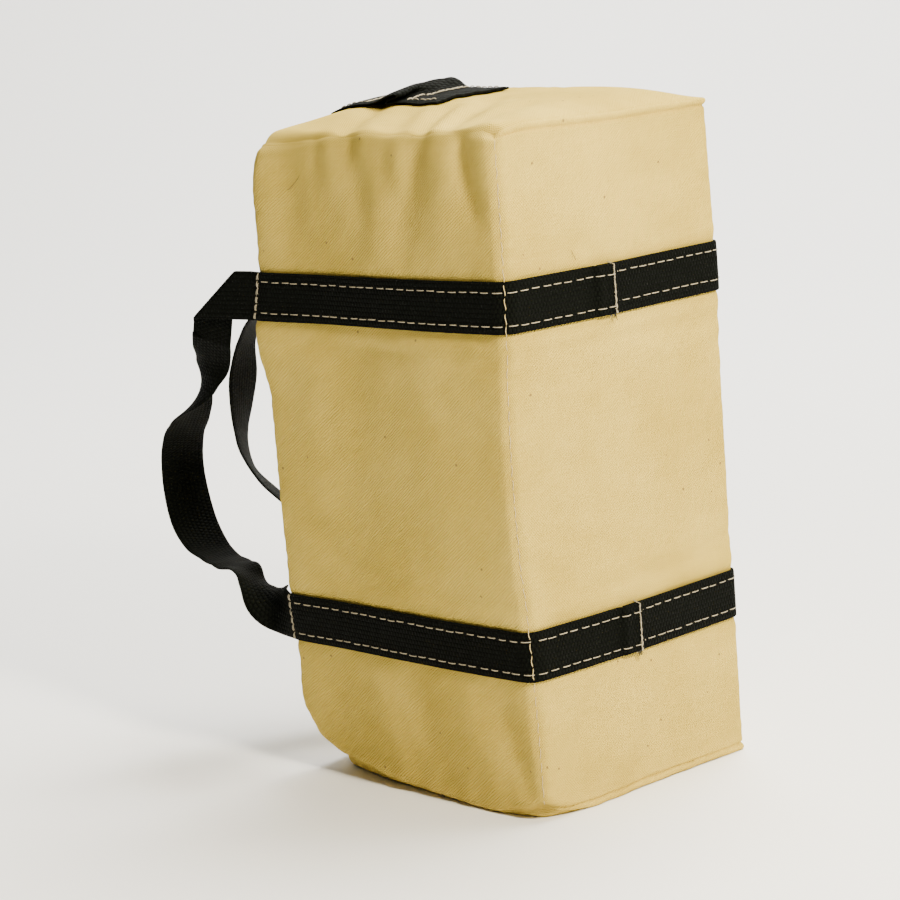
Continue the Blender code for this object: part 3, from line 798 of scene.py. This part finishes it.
far_upper = strap_rows(1, STRAPS["upper"], -0.0045, JOIN)
far_lower = strap_rows(1, STRAPS["lower"], -0.0025, JOIN)
far_stations = (
    *stations_of(far_upper[[-5, -1]]),
    (-97, 70, 253, 0, 0.05, 1),
    (-113, 40, 252, -0.49, 0.34, 0.80),
    (-138, 4, 246, -0.80, 0.58, 0.30),
    (-156, -21, 232, -0.62, 0.78, 0),
    (-161, -29, 217, -0.48, 0.86, -0.17),
    (-163, -32, 199, -0.26, 0.95, -0.18),
    (-164, -34, 184, -0.36, 0.91, -0.19),
    (-165, -35, 169, -0.55, 0.81, -0.19),
    (-165, -34, 157, -0.63, 0.75, -0.20),
    (-162, -31, 145, -0.69, 0.70, -0.20),
    (-157, -24, 134, -0.62, 0.76, -0.19),
    (-146, -7, 115, -0.82, 0.57, 0),
    (-129, 16, 101, -0.80, 0.55, -0.30),
    (-110, 44, 89, -0.45, 0.35, -0.80),
    (-97, 66, 84.5, 0, 0.05, -1),
    *stations_of(far_lower[[-1, -5]][:, ::-1]),
)
far_free = free_rows(far_stations)
far_rows = np.concatenate((far_upper[:-4], far_free[3:-4], far_lower[::-1][4:, ::-1]))
far_webbing = webbing("far_webbing", far_rows, side=1)

for piece, handle, side in ((near_webbing, "near", -1), (far_webbing, "far", 1)):
    piece.data.materials.append(girth_weave)
    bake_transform(piece)
    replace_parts(piece, f"{handle}_strap_upper", f"{handle}_strap_lower", f"{handle}_handle")

# Thread
# Cream bonded thread: two rows of long lockstitches along every strap, doubled rows across it where a
# handle starts and where the two lengths meet, and a topstitched line down the front corner.

THREAD = 0.00024
STITCH_PITCH = 0.0070


def threads(name, lines, up, radius=THREAD, sides=6, look=None, slot="canvas"):
    """One mesh of many short threads. lines is (thread, point, xyz), and up is the way out of the cloth.

    Round each point p the ring is p + r (cos a * up + sin a * side), with r drawn in at both ends.
    """
    lines, up = np.asarray(lines, float), unit(np.asarray(up, float))
    along = unit(np.gradient(lines, axis=1))
    side = unit(np.cross(along, up))
    count, steps = lines.shape[:2]
    taper = np.ones(steps)
    taper[[0, -1]] = 0.35
    a = np.arange(sides) * math.tau / sides
    ring = np.cos(a)[:, None] * up[:, :, None, :] + np.sin(a)[:, None] * side[:, :, None, :]
    points = lines[:, :, None, :] + radius * taper[:, None, None] * ring
    base = np.arange(count)[:, None, None] * steps * sides
    quads = (base[..., None] + loop_quads(steps, sides)[None]).reshape(-1, 4)
    caps = []
    for end, turn in ((0, -1), (steps - 1, 1)):
        for first in (0, sides // 2 - 1):
            k = np.array((0, 1 + first, 2 + first, 3 + first)) % sides
            caps.append((base[:, 0] + end * sides + k[::-turn][None, :]))
    piece = smooth(new_mesh(name, points.reshape(-1, 3), np.concatenate((quads, *caps))))
    piece.data.materials.append(look or cream_thread)
    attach(piece, "bag")
    return piece


def thread_look(name, dark, light):
    """Bonded thread with the uneven shadow of its twist."""
    thread = Shading(name, 0.7, "Object")
    ply = thread.noise(2600, 2, 0.6)
    thread.set("Base Color", thread.mix(ply, dark, light))
    thread.bump(ply, 0.0001)
    return thread.material


cream_thread = thread_look("cream_thread", (0.20, 0.17, 0.11), (0.52, 0.46, 0.33))
pale_thread = thread_look("pale_thread", (0.46, 0.34, 0.12), (0.80, 0.66, 0.36))


def read_rows(rows, out, distance, across):
    """Points and outward directions on a ribbon, at distances along its middle and places across it."""
    middle = rows[:, rows.shape[1] // 2]
    run = lengths_along(middle)
    i = np.interp(distance, run, np.arange(len(run)))
    j = np.interp(across, ACROSS if rows.shape[1] == len(ACROSS) else END_ACROSS, np.arange(rows.shape[1]))
    i0, j0 = np.minimum(i.astype(int), len(rows) - 2), np.minimum(j.astype(int), rows.shape[1] - 2)
    ti, tj = (i - i0)[..., None], (j - j0)[..., None]
    found = []
    for grid in (rows, out):
        low = grid[i0, j0] * (1 - tj) + grid[i0, j0 + 1] * tj
        high = grid[i0 + 1, j0] * (1 - tj) + grid[i0 + 1, j0 + 1] * tj
        found.append(low * (1 - ti) + high * ti)
    return found[0], unit(found[1])


def stitches(read, path, pitch, share=0.81, lift=0.00085, wander=0.00012, steps=9, seed=1):
    """Stitches along a path of (distance, across) pairs.

    Each covers share of its pitch and stands over the cloth by lift * (1.25 sin(pi t)^0.4 - 0.55).
    """
    random = np.random.default_rng(seed)
    path = np.asarray(path, float)
    run = lengths_along(path)
    count = max(1, int(round(run[-1] / pitch)))
    pitch = run[-1] / count
    starts = np.arange(count) * pitch + random.normal(0, 0.05 * pitch, count)
    lengths = share * pitch * random.normal(1, 0.05, count)
    t = np.linspace(0, 1, steps)
    place = np.clip(starts[:, None] + lengths[:, None] * t, 0, run[-1])
    distance = np.interp(place, run, path[:, 0])
    across = np.interp(place, run, path[:, 1]) + random.normal(0, wander, (count, 1))
    points, out = read(distance, across)
    height = lift * (1.25 * np.sin(np.pi * t) ** 0.4 - 0.55)
    return points + out * height[None, :, None], out


def sew(name, read, seams, radius=THREAD, look=None):
    """One mesh of several rows of stitches. A seam is its path, its stitch sizes and its seed."""
    made = [stitches(read, path, *sizes, seed=seed) for path, sizes, seed in seams]
    lines, ups = (np.concatenate(part) for part in zip(*made))
    return threads(name, lines, ups, radius, look=look)


def strap_stitching(name, rows, out, last, insets, seed):
    """The two rows and the two cross rows of one strap. last is the distance to its rear edge."""

    def read(distance, across):
        points, away = read_rows(rows, out, distance, across)
        return points + away * WEBBING * 0.46, away

    half = STRAP_WIDTH / 2
    seams = []
    for k, (across, first) in enumerate(((half - insets[0], 0.001), (-half + insets[1], 0.0015))):
        seams.append((((first, across), (last - 0.002, across + 0.0004)), (STITCH_PITCH,), seed + k))
    for k, shift in enumerate((0.0, 0.0010)):
        path = ((last + shift, -half + 0.0008), (last + shift - 0.0006, half - 0.0006))
        seams.append((path, (0.0037, 0.92, 0.0008, 0.0002), seed + 3 + k))
    return sew(name, read, seams)


def outward_of(rows, sign):
    return unit(np.cross(np.gradient(rows, axis=1), np.gradient(rows, axis=0))) * -sign


for label, rows, sign, insets, seed in (
    ("near_upper", near_upper, -1, (0.0055, 0.0040), 1),
    ("near_lower", near_lower, -1, (0.0050, 0.0042), 11),
    ("far_upper", far_upper, 1, (0.0050, 0.0060), 21),
    ("far_lower", far_lower, 1, (0.0048, 0.0050), 31),
):
    rear_edge = lengths_along(rows[:, rows.shape[1] // 2])[-1] - 0.0015
    strap_stitching(f"{label}_stitches", rows, outward_of(rows, sign), rear_edge, insets, seed)


def join_bar(name, rows, seed):
    """Two strands sewn back and forth over the join, a little past both edges of the webbing."""
    out = outward_of(rows, -1)
    half = STRAP_WIDTH / 2

    def read(distance, across):
        points, away = read_rows(rows, out, distance, np.clip(across, -half, half))
        over = np.maximum(np.abs(across) - half, 0)[..., None] * np.sign(across)[..., None]
        sunk = np.where(np.abs(across) > half, 2 * WEBBING, -0.46 * WEBBING)[..., None]
        return points + over * np.array((0, 0, 1.0)) - away * sunk, away

    seams = []
    for k, (shift, lean, pitch) in enumerate(
        ((0.0022, 0.0006, 0.0036), (0.0030, -0.0004, 0.0052), (0.0026, 0.0002, 0.0030))
    ):
        path = ((shift, -half - 0.0010), (shift + lean, half + 0.0012))
        seams.append((path, (pitch, 0.95, 0.0010, 0.00025), seed + k))
    return sew(name, read, seams)


join_bar("upper_join_stitches", near_upper, 71)
join_bar("lower_join_stitches", near_lower, 81)


def corner_seam():
    """Topstitching down the front corner. It runs over both straps, where it lies on the webbing."""
    z = np.linspace(0.006, LENGTH - 0.005, 900)
    s = WIDTH + 0.0004 + 0.00035 * np.sin(z * 900)
    canvas_line = wall(s, z)
    along, up = wall(s + 0.004, z) - wall(s - 0.004, z), wall(s, z + 0.001) - wall(s, z - 0.001)
    out = unit(np.cross(along, up))
    over = np.zeros(len(z))
    for height in STRAPS.values():
        over += 1 - smoothstep(abs(z - height), STRAP_WIDTH / 2, STRAP_WIDTH / 2 + 0.0012)
    line = canvas_line + out * (over * (STRAP_LIFT + WEBBING + 0.0009) + 0.00005)[:, None]

    def read(distance, across):
        at = np.interp(distance, z, np.arange(len(z)))
        points = np.stack([np.interp(at, np.arange(len(z)), line[:, k]) for k in range(3)], -1)
        away = np.stack([np.interp(at, np.arange(len(z)), out[:, k]) for k in range(3)], -1)
        return points, unit(away)

    seam = (((z[0], 0), (z[-1], 0)), (0.0066, 0.84, 0.00042), 91)
    return sew("corner_seam_stitches", read, [seam], 0.00020, pale_thread)


corner_seam()


def loose_fibres():
    """Frayed ends of the webbing's cords at the lower corner of each join, and a snipped thread or two.

    Each fibre leaves its root along a direction and droops: p = root + s * way + s^2 * droop.
    """
    random = np.random.default_rng(17)
    black = Shading("black_fibre", 0.8, "Object")
    black.set("Base Color", black.mix(black.noise(900), (0.004, 0.004, 0.003), (0.02, 0.02, 0.016)))
    lines = []
    s = np.linspace(0, 1, 9)[:, None]
    for rows, amount in ((near_upper, 9), (near_lower, 12)):
        corner, out = rows[3, 0], outward_of(rows, -1)[3, 0]
        for _ in range(amount):
            start = np.array((0, random.uniform(-0.0016, 0.0012), random.uniform(0, 0.0010)))
            root = corner + start + out * 0.0004
            way = random.uniform((0.0003, -0.0012, -0.0030), (0.0012, 0.0010, -0.0010))
            lines.append(root + s * way + s**2 * random.uniform(-0.0006, 0.0006, 3))
    snipped = ((0.026, 0.3085, 0.0085, 0.0075), (WIDTH + 0.046, 0.2700, -0.0022, 0.0050))
    for along, height, across, rise in snipped:
        place = wall(along + across * s[:, 0], height + rise * s[:, 0] - 0.0018 * np.sin(np.pi * s[:, 0]))
        out = np.array((0, -1, 0)) if along < WIDTH else np.array((1, 0, 0))
        lines.append(place + out * (0.0004 + 0.0011 * np.sin(np.pi * s) ** 2))
    up = np.broadcast_to(np.array((0.7, -0.7, 0.05)), np.shape(lines))
    threads("loose_fibres", lines, up, radius=0.00012, look=black.material, slot="webbing")


loose_fibres()

# End handle
# One piece of 50 mm black webbing along X over the upper end. Both ends are sewn down with a box of
# thick thread. Its free middle has slack: it arches up on the far side and is pushed into an S on the near.

END_WIDTH = 0.050
END_ACROSS = np.array((-1, -0.99, -0.965, -0.92, *np.linspace(-0.86, 0.86, 25), 0.92, 0.965, 0.99, 1))
END_ACROSS = END_ACROSS * END_WIDTH / 2
ARCH = (
    (2.0, 1.0), (-8, 1.0), (-18, 1.0), (-25, 1.1), (-29.5, 2.6), (-33.5, 5.2), (-37.5, 6.4),
    (-41.5, 5.4), (-45.5, 3.4), (-49.5, 1.8), (-54, 1.1), (-62, 1.0), (-70, 1.0), (-79, 1.0),
)
PLEAT = (
    (1.0, 1.0), (-9, 1.0), (-20, 1.0), (-30, 1.1), (-36.0, 1.5), (-37.3, 2.6), (-34.0, 3.3),
    (-29.5, 3.7), (-28.6, 4.8), (-33.0, 5.4), (-42, 4.6), (-52, 1.6), (-66, 1.0), (-79, 1.0),
)


def end_rows():
    """Rows along the webbing: (x, lift) runs from the S on the near edge to the arch on the far one."""
    arch, pleat = (through([(x, h, 0) for x, h in points], 0.4) for points in (ARCH, PLEAT))
    t = np.linspace(0, 1, 210)
    arch, pleat = (
        np.stack([np.interp(t, np.linspace(0, 1, len(line)), line[:, k]) for k in (0, 1)], -1)
        for line in (arch, pleat)
    )
    share = smoothstep(END_ACROSS, -0.024, 0.010)[None, :, None]
    line = (pleat[:, None] * (1 - share) + arch[:, None] * share) * MM
    y = np.broadcast_to(END_ACROSS - 0.0012, line.shape[:2])
    ground = end_face(line[..., 0], y, True)
    ground[..., 0], ground[..., 1] = line[..., 0], y
    ground[..., 2] += line[..., 1] + 0.0003
    return soften(ground, 3)


end_line = end_rows()
end_webbing = webbing("end_webbing", end_line, lines=END_ACROSS)
end_webbing.data.materials.append(black_webbing("end_weave", 1 / 0.0030))
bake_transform(end_webbing)
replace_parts(end_webbing, "end_handle_front_tab", "end_handle", "end_handle_rear_tab")


def end_box(name, inner, outer, seed):
    """The sewn rows of one end: a doubled row across, next to the free loop, and a row down each side."""

    def read(x, y):
        points = end_face(x, y, True)
        points[..., 0], points[..., 1] = x, y
        points[..., 2] += 0.0013 + WEBBING / 2
        return points, np.broadcast_to(np.array((0, 0, 1.0)), points.shape)

    seams = []
    for k, (shift, pitch) in enumerate(((0.0, 0.0042), (0.0009, 0.0033))):
        path = ((inner + shift, -0.0225), (inner - shift, 0.0215))
        seams.append((path, (pitch, 0.93, 0.0007, 0.00035), seed + k))
    for k, side in enumerate((-0.0220, 0.0218)):
        seams.append((((inner, side), (outer, side)), (0.0046, 0.85, 0.0005), seed + 4 + k))
    return sew(name, read, seams, 0.00030)


end_box("end_front_stitches", -0.0245, -0.0030, 101)
end_box("end_rear_stitches", -0.0545, -0.0760, 111)

# Zip
# A black zip down the middle of the zip panel: a woven tape under each canvas edge, a row of moulded
# teeth on each, a stop at both ends, and an enamelled slider with a plate pull, at rest on the lower stop.

TEETH_PITCH = 0.0015
TAPE_WIDTH = 0.0140


def zip_canvas(y, z):
    """The floor of the zip's channel, where the tapes lie."""
    s = 2 * WIDTH + DEPTH + (DEPTH / 2 - np.asarray(y, float))
    return wall(s, z)


def tape(name, sign):
    """One tape, from beside the teeth outwards, with a slight wave along its length."""
    y = sign * np.linspace(0.0002, TAPE_WIDTH, 22)
    z = np.linspace(0.002, LENGTH - 0.002, 260)
    rows = zip_canvas(y[None, :], z[:, None])
    rows[..., 0] = -WIDTH / 2 + 0.0009 + 0.00006 * np.sin(z[:, None] * 700 + y[None, :] * 900)
    rows[..., 1] = y[None, :]
    back = rows + np.array((0.0005, 0, 0))
    loop = np.concatenate((rows, back[:, ::-1]), 1)
    faces = strip_faces(*loop.shape[:2])
    piece = new_mesh(name, loop.reshape(-1, 3), faces if sign > 0 else faces[:, ::-1])
    set_point_uv(piece, loop.reshape(-1, 3)[:, [2, 1]])
    piece.data.materials.append(tape_weave)
    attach(piece, "bag")
    return piece


def tape_look():
    """Black woven tape, ribbed across, with painted shade in the grooves between the ribs."""
    cloth = Shading("zip_tape_weave", 0.8)
    split = cloth.node("ShaderNodeSeparateXYZ", Vector=cloth.place)
    wave = cloth.maths("SINE", cloth.maths("MULTIPLY", split.outputs[0], 3.1416 / 0.0007))
    rib = cloth.maths("ABSOLUTE", wave)
    # Painted shade: the colour is darkest in the grooves between the ribs, where their shade falls, and
    # lighter on the rib tops by a noise.
    share = cloth.maths("MULTIPLY", rib, cloth.noise(2500, 2, 0.6))
    cloth.set("Base Color", cloth.mix(share, (0.008, 0.008, 0.009), (0.035, 0.035, 0.037)))
    cloth.bump(rib, 0.00016)
    return cloth.material


tape_weave = tape_look()
for label, sign in (("near", -1), ("far", 1)):
    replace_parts(tape(f"{label}_tape", sign), f"{label}_zip_tape")


def dress(piece, material, body):
    """Smooth faces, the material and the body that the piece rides."""
    smooth(piece).data.materials.append(material)
    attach(piece, body)
    return piece


def block(name, size, count, place, bevel, material, body):
    """count copies of one bevelled block as a single mesh. place(k) gives the middle of copy k."""
    shape = bmesh.new()
    bmesh.ops.create_cube(shape, size=1.0)
    bmesh.ops.scale(shape, vec=size, verts=shape.verts)
    bmesh.ops.bevel(shape, geom=shape.edges[:], offset=bevel, segments=2, affect="EDGES", profile=0.5)
    points = np.array([v.co for v in shape.verts])
    shape.verts.index_update()
    polygons = [[v.index for v in face.verts] for face in shape.faces]
    shape.free()
    centres = np.array([place(k) for k in range(count)])
    every = (points[None] + centres[:, None]).reshape(-1, 3)
    faces = [[i + k * len(points) for i in polygon] for k in range(count) for polygon in polygons]
    return dress(new_mesh(name, every, faces), material, body)


def plain_look(name, colour, other, roughness, grain, depth):
    """A hard surface: two tones over a noise, with a fine bump."""
    look = Shading(name, roughness, "Object")
    spots = look.noise(grain, 4, 0.6)
    look.set("Base Color", look.mix(spots, colour, other))
    look.set("Roughness", look.maths("ADD", look.maths("MULTIPLY", spots, 0.2), roughness - 0.1))
    look.bump(look.noise(grain * 4, 3, 0.6), depth)
    return look.material


nylon = plain_look("moulded_nylon", (0.010, 0.010, 0.011), (0.020, 0.020, 0.021), 0.42, 800, 0.00003)
enamel = plain_look("black_enamel", (0.012, 0.012, 0.013), (0.026, 0.026, 0.028), 0.30, 350, 0.00002)
TEETH_LOW, TEETH_HIGH = 0.0273, 0.3095
rows_of_teeth = int((TEETH_HIGH - TEETH_LOW) / TEETH_PITCH)
for label, sign in (("near", -1), ("far", 1)):
    teeth = block(
        f"{label}_teeth",
        (0.0019, 0.0034, 0.00105),
        rows_of_teeth,
        lambda k: (-WIDTH / 2 - 0.0002, sign * 0.0013, TEETH_LOW + (k + 0.5 + 0.25 * sign) * TEETH_PITCH),
        0.0003,
        nylon,
        "bag",
    )
    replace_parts(teeth, f"{label}_zip_teeth")
for label, height in (("bottom", 0.02525), ("top", 0.31175)):
    place = (-WIDTH / 2, 0, height)
    stop_size = (0.0024, 0.0068, 0.0035)
    stop = block(f"{label}_stop", stop_size, 1, lambda k: place, 0.0006, enamel, "bag")
    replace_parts(stop, f"zip_{label}_stop")


def plate(name, outline, hole, x, thickness, bevel, body):
    """A plate in the YZ plane between an outline and, if there is one, a hole of as many points."""
    outline = np.array(outline)
    shape = bmesh.new()
    outer = [shape.verts.new((x, y, z)) for y, z in outline]
    if hole is None:
        faces = [shape.faces.new(outer)]
    else:
        inner = [shape.verts.new((x, y, z)) for y, z in hole]
        count = len(outer)
        after = [(k, (k + 1) % count) for k in range(count)]
        faces = [shape.faces.new((outer[k], outer[n], inner[n], inner[k])) for k, n in after]
    made = bmesh.ops.extrude_face_region(shape, geom=faces)
    moved = [item for item in made["geom"] if isinstance(item, bmesh.types.BMVert)]
    bmesh.ops.translate(shape, vec=(thickness, 0, 0), verts=moved)
    bmesh.ops.recalc_face_normals(shape, faces=shape.faces)
    rim = [edge for edge in shape.edges if len(edge.link_faces) == 2 and edge.calc_face_angle() > 1.2]
    bmesh.ops.bevel(shape, geom=rim, offset=bevel, segments=3, affect="EDGES", profile=0.5)
    piece = new_mesh(name)
    shape.to_mesh(piece.data)
    shape.free()
    return dress(piece, enamel, body)


def oval(half_y, half_z, middle, power=2.0, count=40, waist=0.0):
    """Points of a superellipse in YZ, narrowed by waist halfway up."""
    a = np.arange(count) * math.tau / count
    y = half_y * np.sign(np.cos(a)) * np.abs(np.cos(a)) ** (2 / power)
    z = half_z * np.sign(np.sin(a)) * np.abs(np.sin(a)) ** (2 / power)
    return np.stack((y * (1 - waist * bell(z, 0, half_z * 0.5)), middle + z), -1)


slider_z = 0.0331
slider_back = -WIDTH / 2 - 0.00235
slider_outline = oval(0.0049, 0.0055, slider_z, 3.2, waist=0.10)
slider_top_plate = plate("slider_plate", slider_outline, None, slider_back - 0.0008, 0.0011, 0.0003, "slider")
for sign in (-1, 1):
    place = (slider_back + 0.0013, sign * 0.0043, slider_z)
    flange_size = (0.0026, 0.0010, 0.0100)
    block("slider_flange", flange_size, 1, lambda k: place, 0.0003, enamel, "slider")
plate("slider_bail", oval(0.0011, 0.0035, slider_z, 4), None, slider_back - 0.0031, 0.0008, 0.0002, "slider")
for level in (-1, 1):
    place = (slider_back - 0.0017, 0, slider_z + level * 0.0028)
    post_size = (0.0026, 0.0020, 0.0012)
    block("slider_post", post_size, 1, lambda k: place, 0.0002, enamel, "slider")
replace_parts(slider_top_plate, "zip_slider")

PULL_LENGTH = 0.026
pull_outline = oval(0.0038, PULL_LENGTH / 2, slider_z - PULL_LENGTH / 2 + 0.0006, 3.4)
pull_outline[:, 0] *= 1 - 0.22 * smoothstep(pull_outline[:, 1], slider_z - 0.016, slider_z)
pull_hole = oval(0.0019, 0.0023, slider_z - 0.0029, 4)
pull = plate("pull_plate", pull_outline, pull_hole, -0.0897 - 0.0006, 0.0012, 0.0003, "pull")
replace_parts(pull, "zip_pull")


def zip_rows():
    """A row of stitches down each side of the zip, on the canvas."""

    def read(z, y):
        points = zip_canvas(y, z)
        return points, np.broadcast_to(np.array((-1.0, 0, 0)), points.shape)

    paths = [((0.012, side), (LENGTH - 0.012, side)) for side in (-0.0092, 0.0092)]
    seams = [(path, (0.0042, 0.85, 0.0008), 121 + k) for k, path in enumerate(paths)]
    return sew("zip_stitches", read, seams, 0.00028)


zip_rows()

# Liner and sand
# A tied polythene bag inside keeps the sand from sifting through the canvas. Neither shows when the zip
# is closed. Both follow the canvas a little way in, and the film is gathered into a neck at the top.


def inner_bag(name, inset, heights, neck, material):
    """Rings inside the canvas: q = axis + (p - axis) * (1 - 1.5 inset / reach), gathered where neck says."""
    s = np.linspace(0, 2 * (WIDTH + DEPTH), 97)[:-1]
    rings = []
    for z, width in zip(heights, neck):
        ring = wall(s, np.full_like(s, np.clip(z, 0.006, LENGTH - 0.02)))
        reach = np.hypot(ring[:, 0], ring[:, 1])
        turn = 1 - inset * 1.5 / reach
        flute = 1 + (1 - width) * 0.10 * np.sin(24 * np.arctan2(ring[:, 1], ring[:, 0]))
        share = turn * width * flute
        rings.append(np.column_stack((ring[:, 0] * share, ring[:, 1] * share, np.full_like(s, z))))
    count = len(s)
    points = np.concatenate((*rings, rings[0].mean(0)[None], rings[-1].mean(0)[None]))
    faces = loop_quads(len(rings), count).reshape(-1, 4).tolist()
    top = (len(rings) - 1) * count
    faces += [(top + count, (i + 1) % count, i) for i in range(count)]
    faces += [(top + count + 1, top + i, top + (i + 1) % count) for i in range(count)]
    return dress(new_mesh(name, points, faces), material, "bag")


film = Shading("polythene_film", 0.25, "Object")
haze = film.noise(90, 4, 0.6)
film.set("Base Color", film.mix(haze, (0.62, 0.65, 0.66), (0.80, 0.82, 0.82)))
film.bump(film.noise(160, 4, 0.7), 0.0006)
shoulder = LENGTH - 0.034
film_heights = (0.0025, 0.006, 0.012, *np.linspace(0.02, shoulder - 0.01, 30), shoulder)
film_heights += tuple(np.linspace(shoulder + 0.004, LENGTH - 0.007, 7))
film_neck = (0.90, 0.96, 0.985, *(0.99,) * 30, 0.96, 0.80, 0.55, 0.30, 0.12, 0.10, 0.14, 0.22)
liner = inner_bag("liner_film", 0.0030, film_heights, film_neck, film.material)
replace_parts(liner, "liner_bag")

grains = Shading("washed_sand", 0.95, "Object")
grain = grains.node("ShaderNodeTexVoronoi", {"feature": "F1"}, Vector=grains.place, Scale=1400)
grains.set("Base Color", grains.mix(grains.noise(900, 2, 0.7), (0.30, 0.22, 0.13), (0.66, 0.55, 0.38)))
grains.bump(grain.outputs["Distance"], 0.0006)
sand_heights = (0.005, 0.008, 0.014, *np.linspace(0.022, shoulder - 0.014, 30))
sand_heights += (shoulder - 0.006, shoulder - 0.003)
sand_neck = (0.88, 0.94, 0.965, *(0.975,) * 30, 0.94, 0.60)
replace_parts(inner_bag("sand", 0.0050, sand_heights, sand_neck, grains.material), "sand_fill")

tie_look = plain_look("tie_nylon", (0.012, 0.012, 0.013), (0.022, 0.022, 0.024), 0.4, 500, 0.00003)
a = np.linspace(0, math.tau, 49)[:-1]
tie_line = np.column_stack((0.0112 * np.cos(a), 0.0095 * np.sin(a), np.full_like(a, LENGTH - 0.0165)))
tie_line = np.concatenate((tie_line, tie_line[:2]))
tie_up = np.column_stack((np.cos(a), np.sin(a), np.zeros_like(a)))
tie_up = np.concatenate((tie_up, tie_up[:2]))
tie_sizes = {"radius": 0.0011, "sides": 8, "look": tie_look, "slot": "liner_tie"}
tie = threads("liner_tie_band", tie_line[None], tie_up[None], **tie_sizes)
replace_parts(tie, "liner_tie")

# Studio
# A pale seamless backdrop, a warm key light on the base panel's side, and broad soft light from above.


def backdrop():
    """A floor that curves up into a wall: straight, a quarter circle of 1.2 m, then straight up."""
    turn = np.linspace(0, math.pi / 2, 24)
    run = np.concatenate(((-4.0,), 1.6 + 1.2 * np.sin(turn), (2.8,)))
    rise = np.concatenate(((0.0,), 1.2 - 1.2 * np.cos(turn), (5.0,)))
    away, across = np.array((-0.70, 0.714)), np.array((0.714, 0.70))
    wide = np.array((-6.0, 6.0))
    plan = run[:, None, None] * away + wide[None, :, None] * across
    points = np.concatenate((plan, np.repeat(rise[:, None, None], 2, 1)), -1).reshape(-1, 3)
    k = np.arange(len(run) - 1) * 2
    sweep = smooth(new_mesh("backdrop", points, np.stack((k, k + 1, k + 3, k + 2), -1)))
    paper = Shading("white_paper", 0.8, "Object")
    paper.set("Base Color", paper.mix(paper.noise(3), (0.90, 0.90, 0.895), (0.92, 0.92, 0.915)))
    sweep.data.materials.append(paper.material)


def softbox(name, place, aim, size, power, colour):
    light = bpy.data.lights.new(name, "AREA")
    light.shape = "SQUARE"
    light.size = size
    light.energy = power
    light.color = colour
    lamp = bpy.data.objects.new(name, light)
    bpy.context.scene.collection.objects.link(lamp)
    lamp.location = place
    lamp.rotation_euler = (Vector(aim) - Vector(place)).to_track_quat("-Z", "Y").to_euler()


backdrop()
softbox("key", (0.76, -0.165, 0.76), (0, 0, 0.18), 0.17, 20, (1.0, 0.90, 0.70))
softbox("overhead", (0.3, 1.0, 2.3), (-0.1, 0.3, 0), 1.8, 130, (1.0, 0.95, 0.82))
softbox("backdrop_light", (-0.6, 1.2, 2.6), (-1.7, 1.9, 0.6), 1.4, 130, (1.0, 0.99, 0.97))
world = bpy.data.worlds.new("room")
bpy.context.scene.world = world
world.use_nodes = True
world.node_tree.nodes["Background"].inputs["Color"].default_value = (1.0, 0.99, 0.97, 1)
world.node_tree.nodes["Background"].inputs["Strength"].default_value = 0.08

lens = bpy.data.cameras.new("camera")
lens.lens = 115.15
camera = bpy.data.objects.new("camera", lens)
bpy.context.scene.collection.objects.link(camera)
camera.location = (1.0423, -1.0071, 0.4463)
look = (Vector((-0.0179, -0.0185, 0.1668)) - camera.location).to_track_quat("-Z", "Y")
camera.rotation_euler = (look.to_matrix() @ Matrix.Rotation(math.radians(-4.556), 3, "Z")).to_euler()
bpy.context.scene.camera = camera
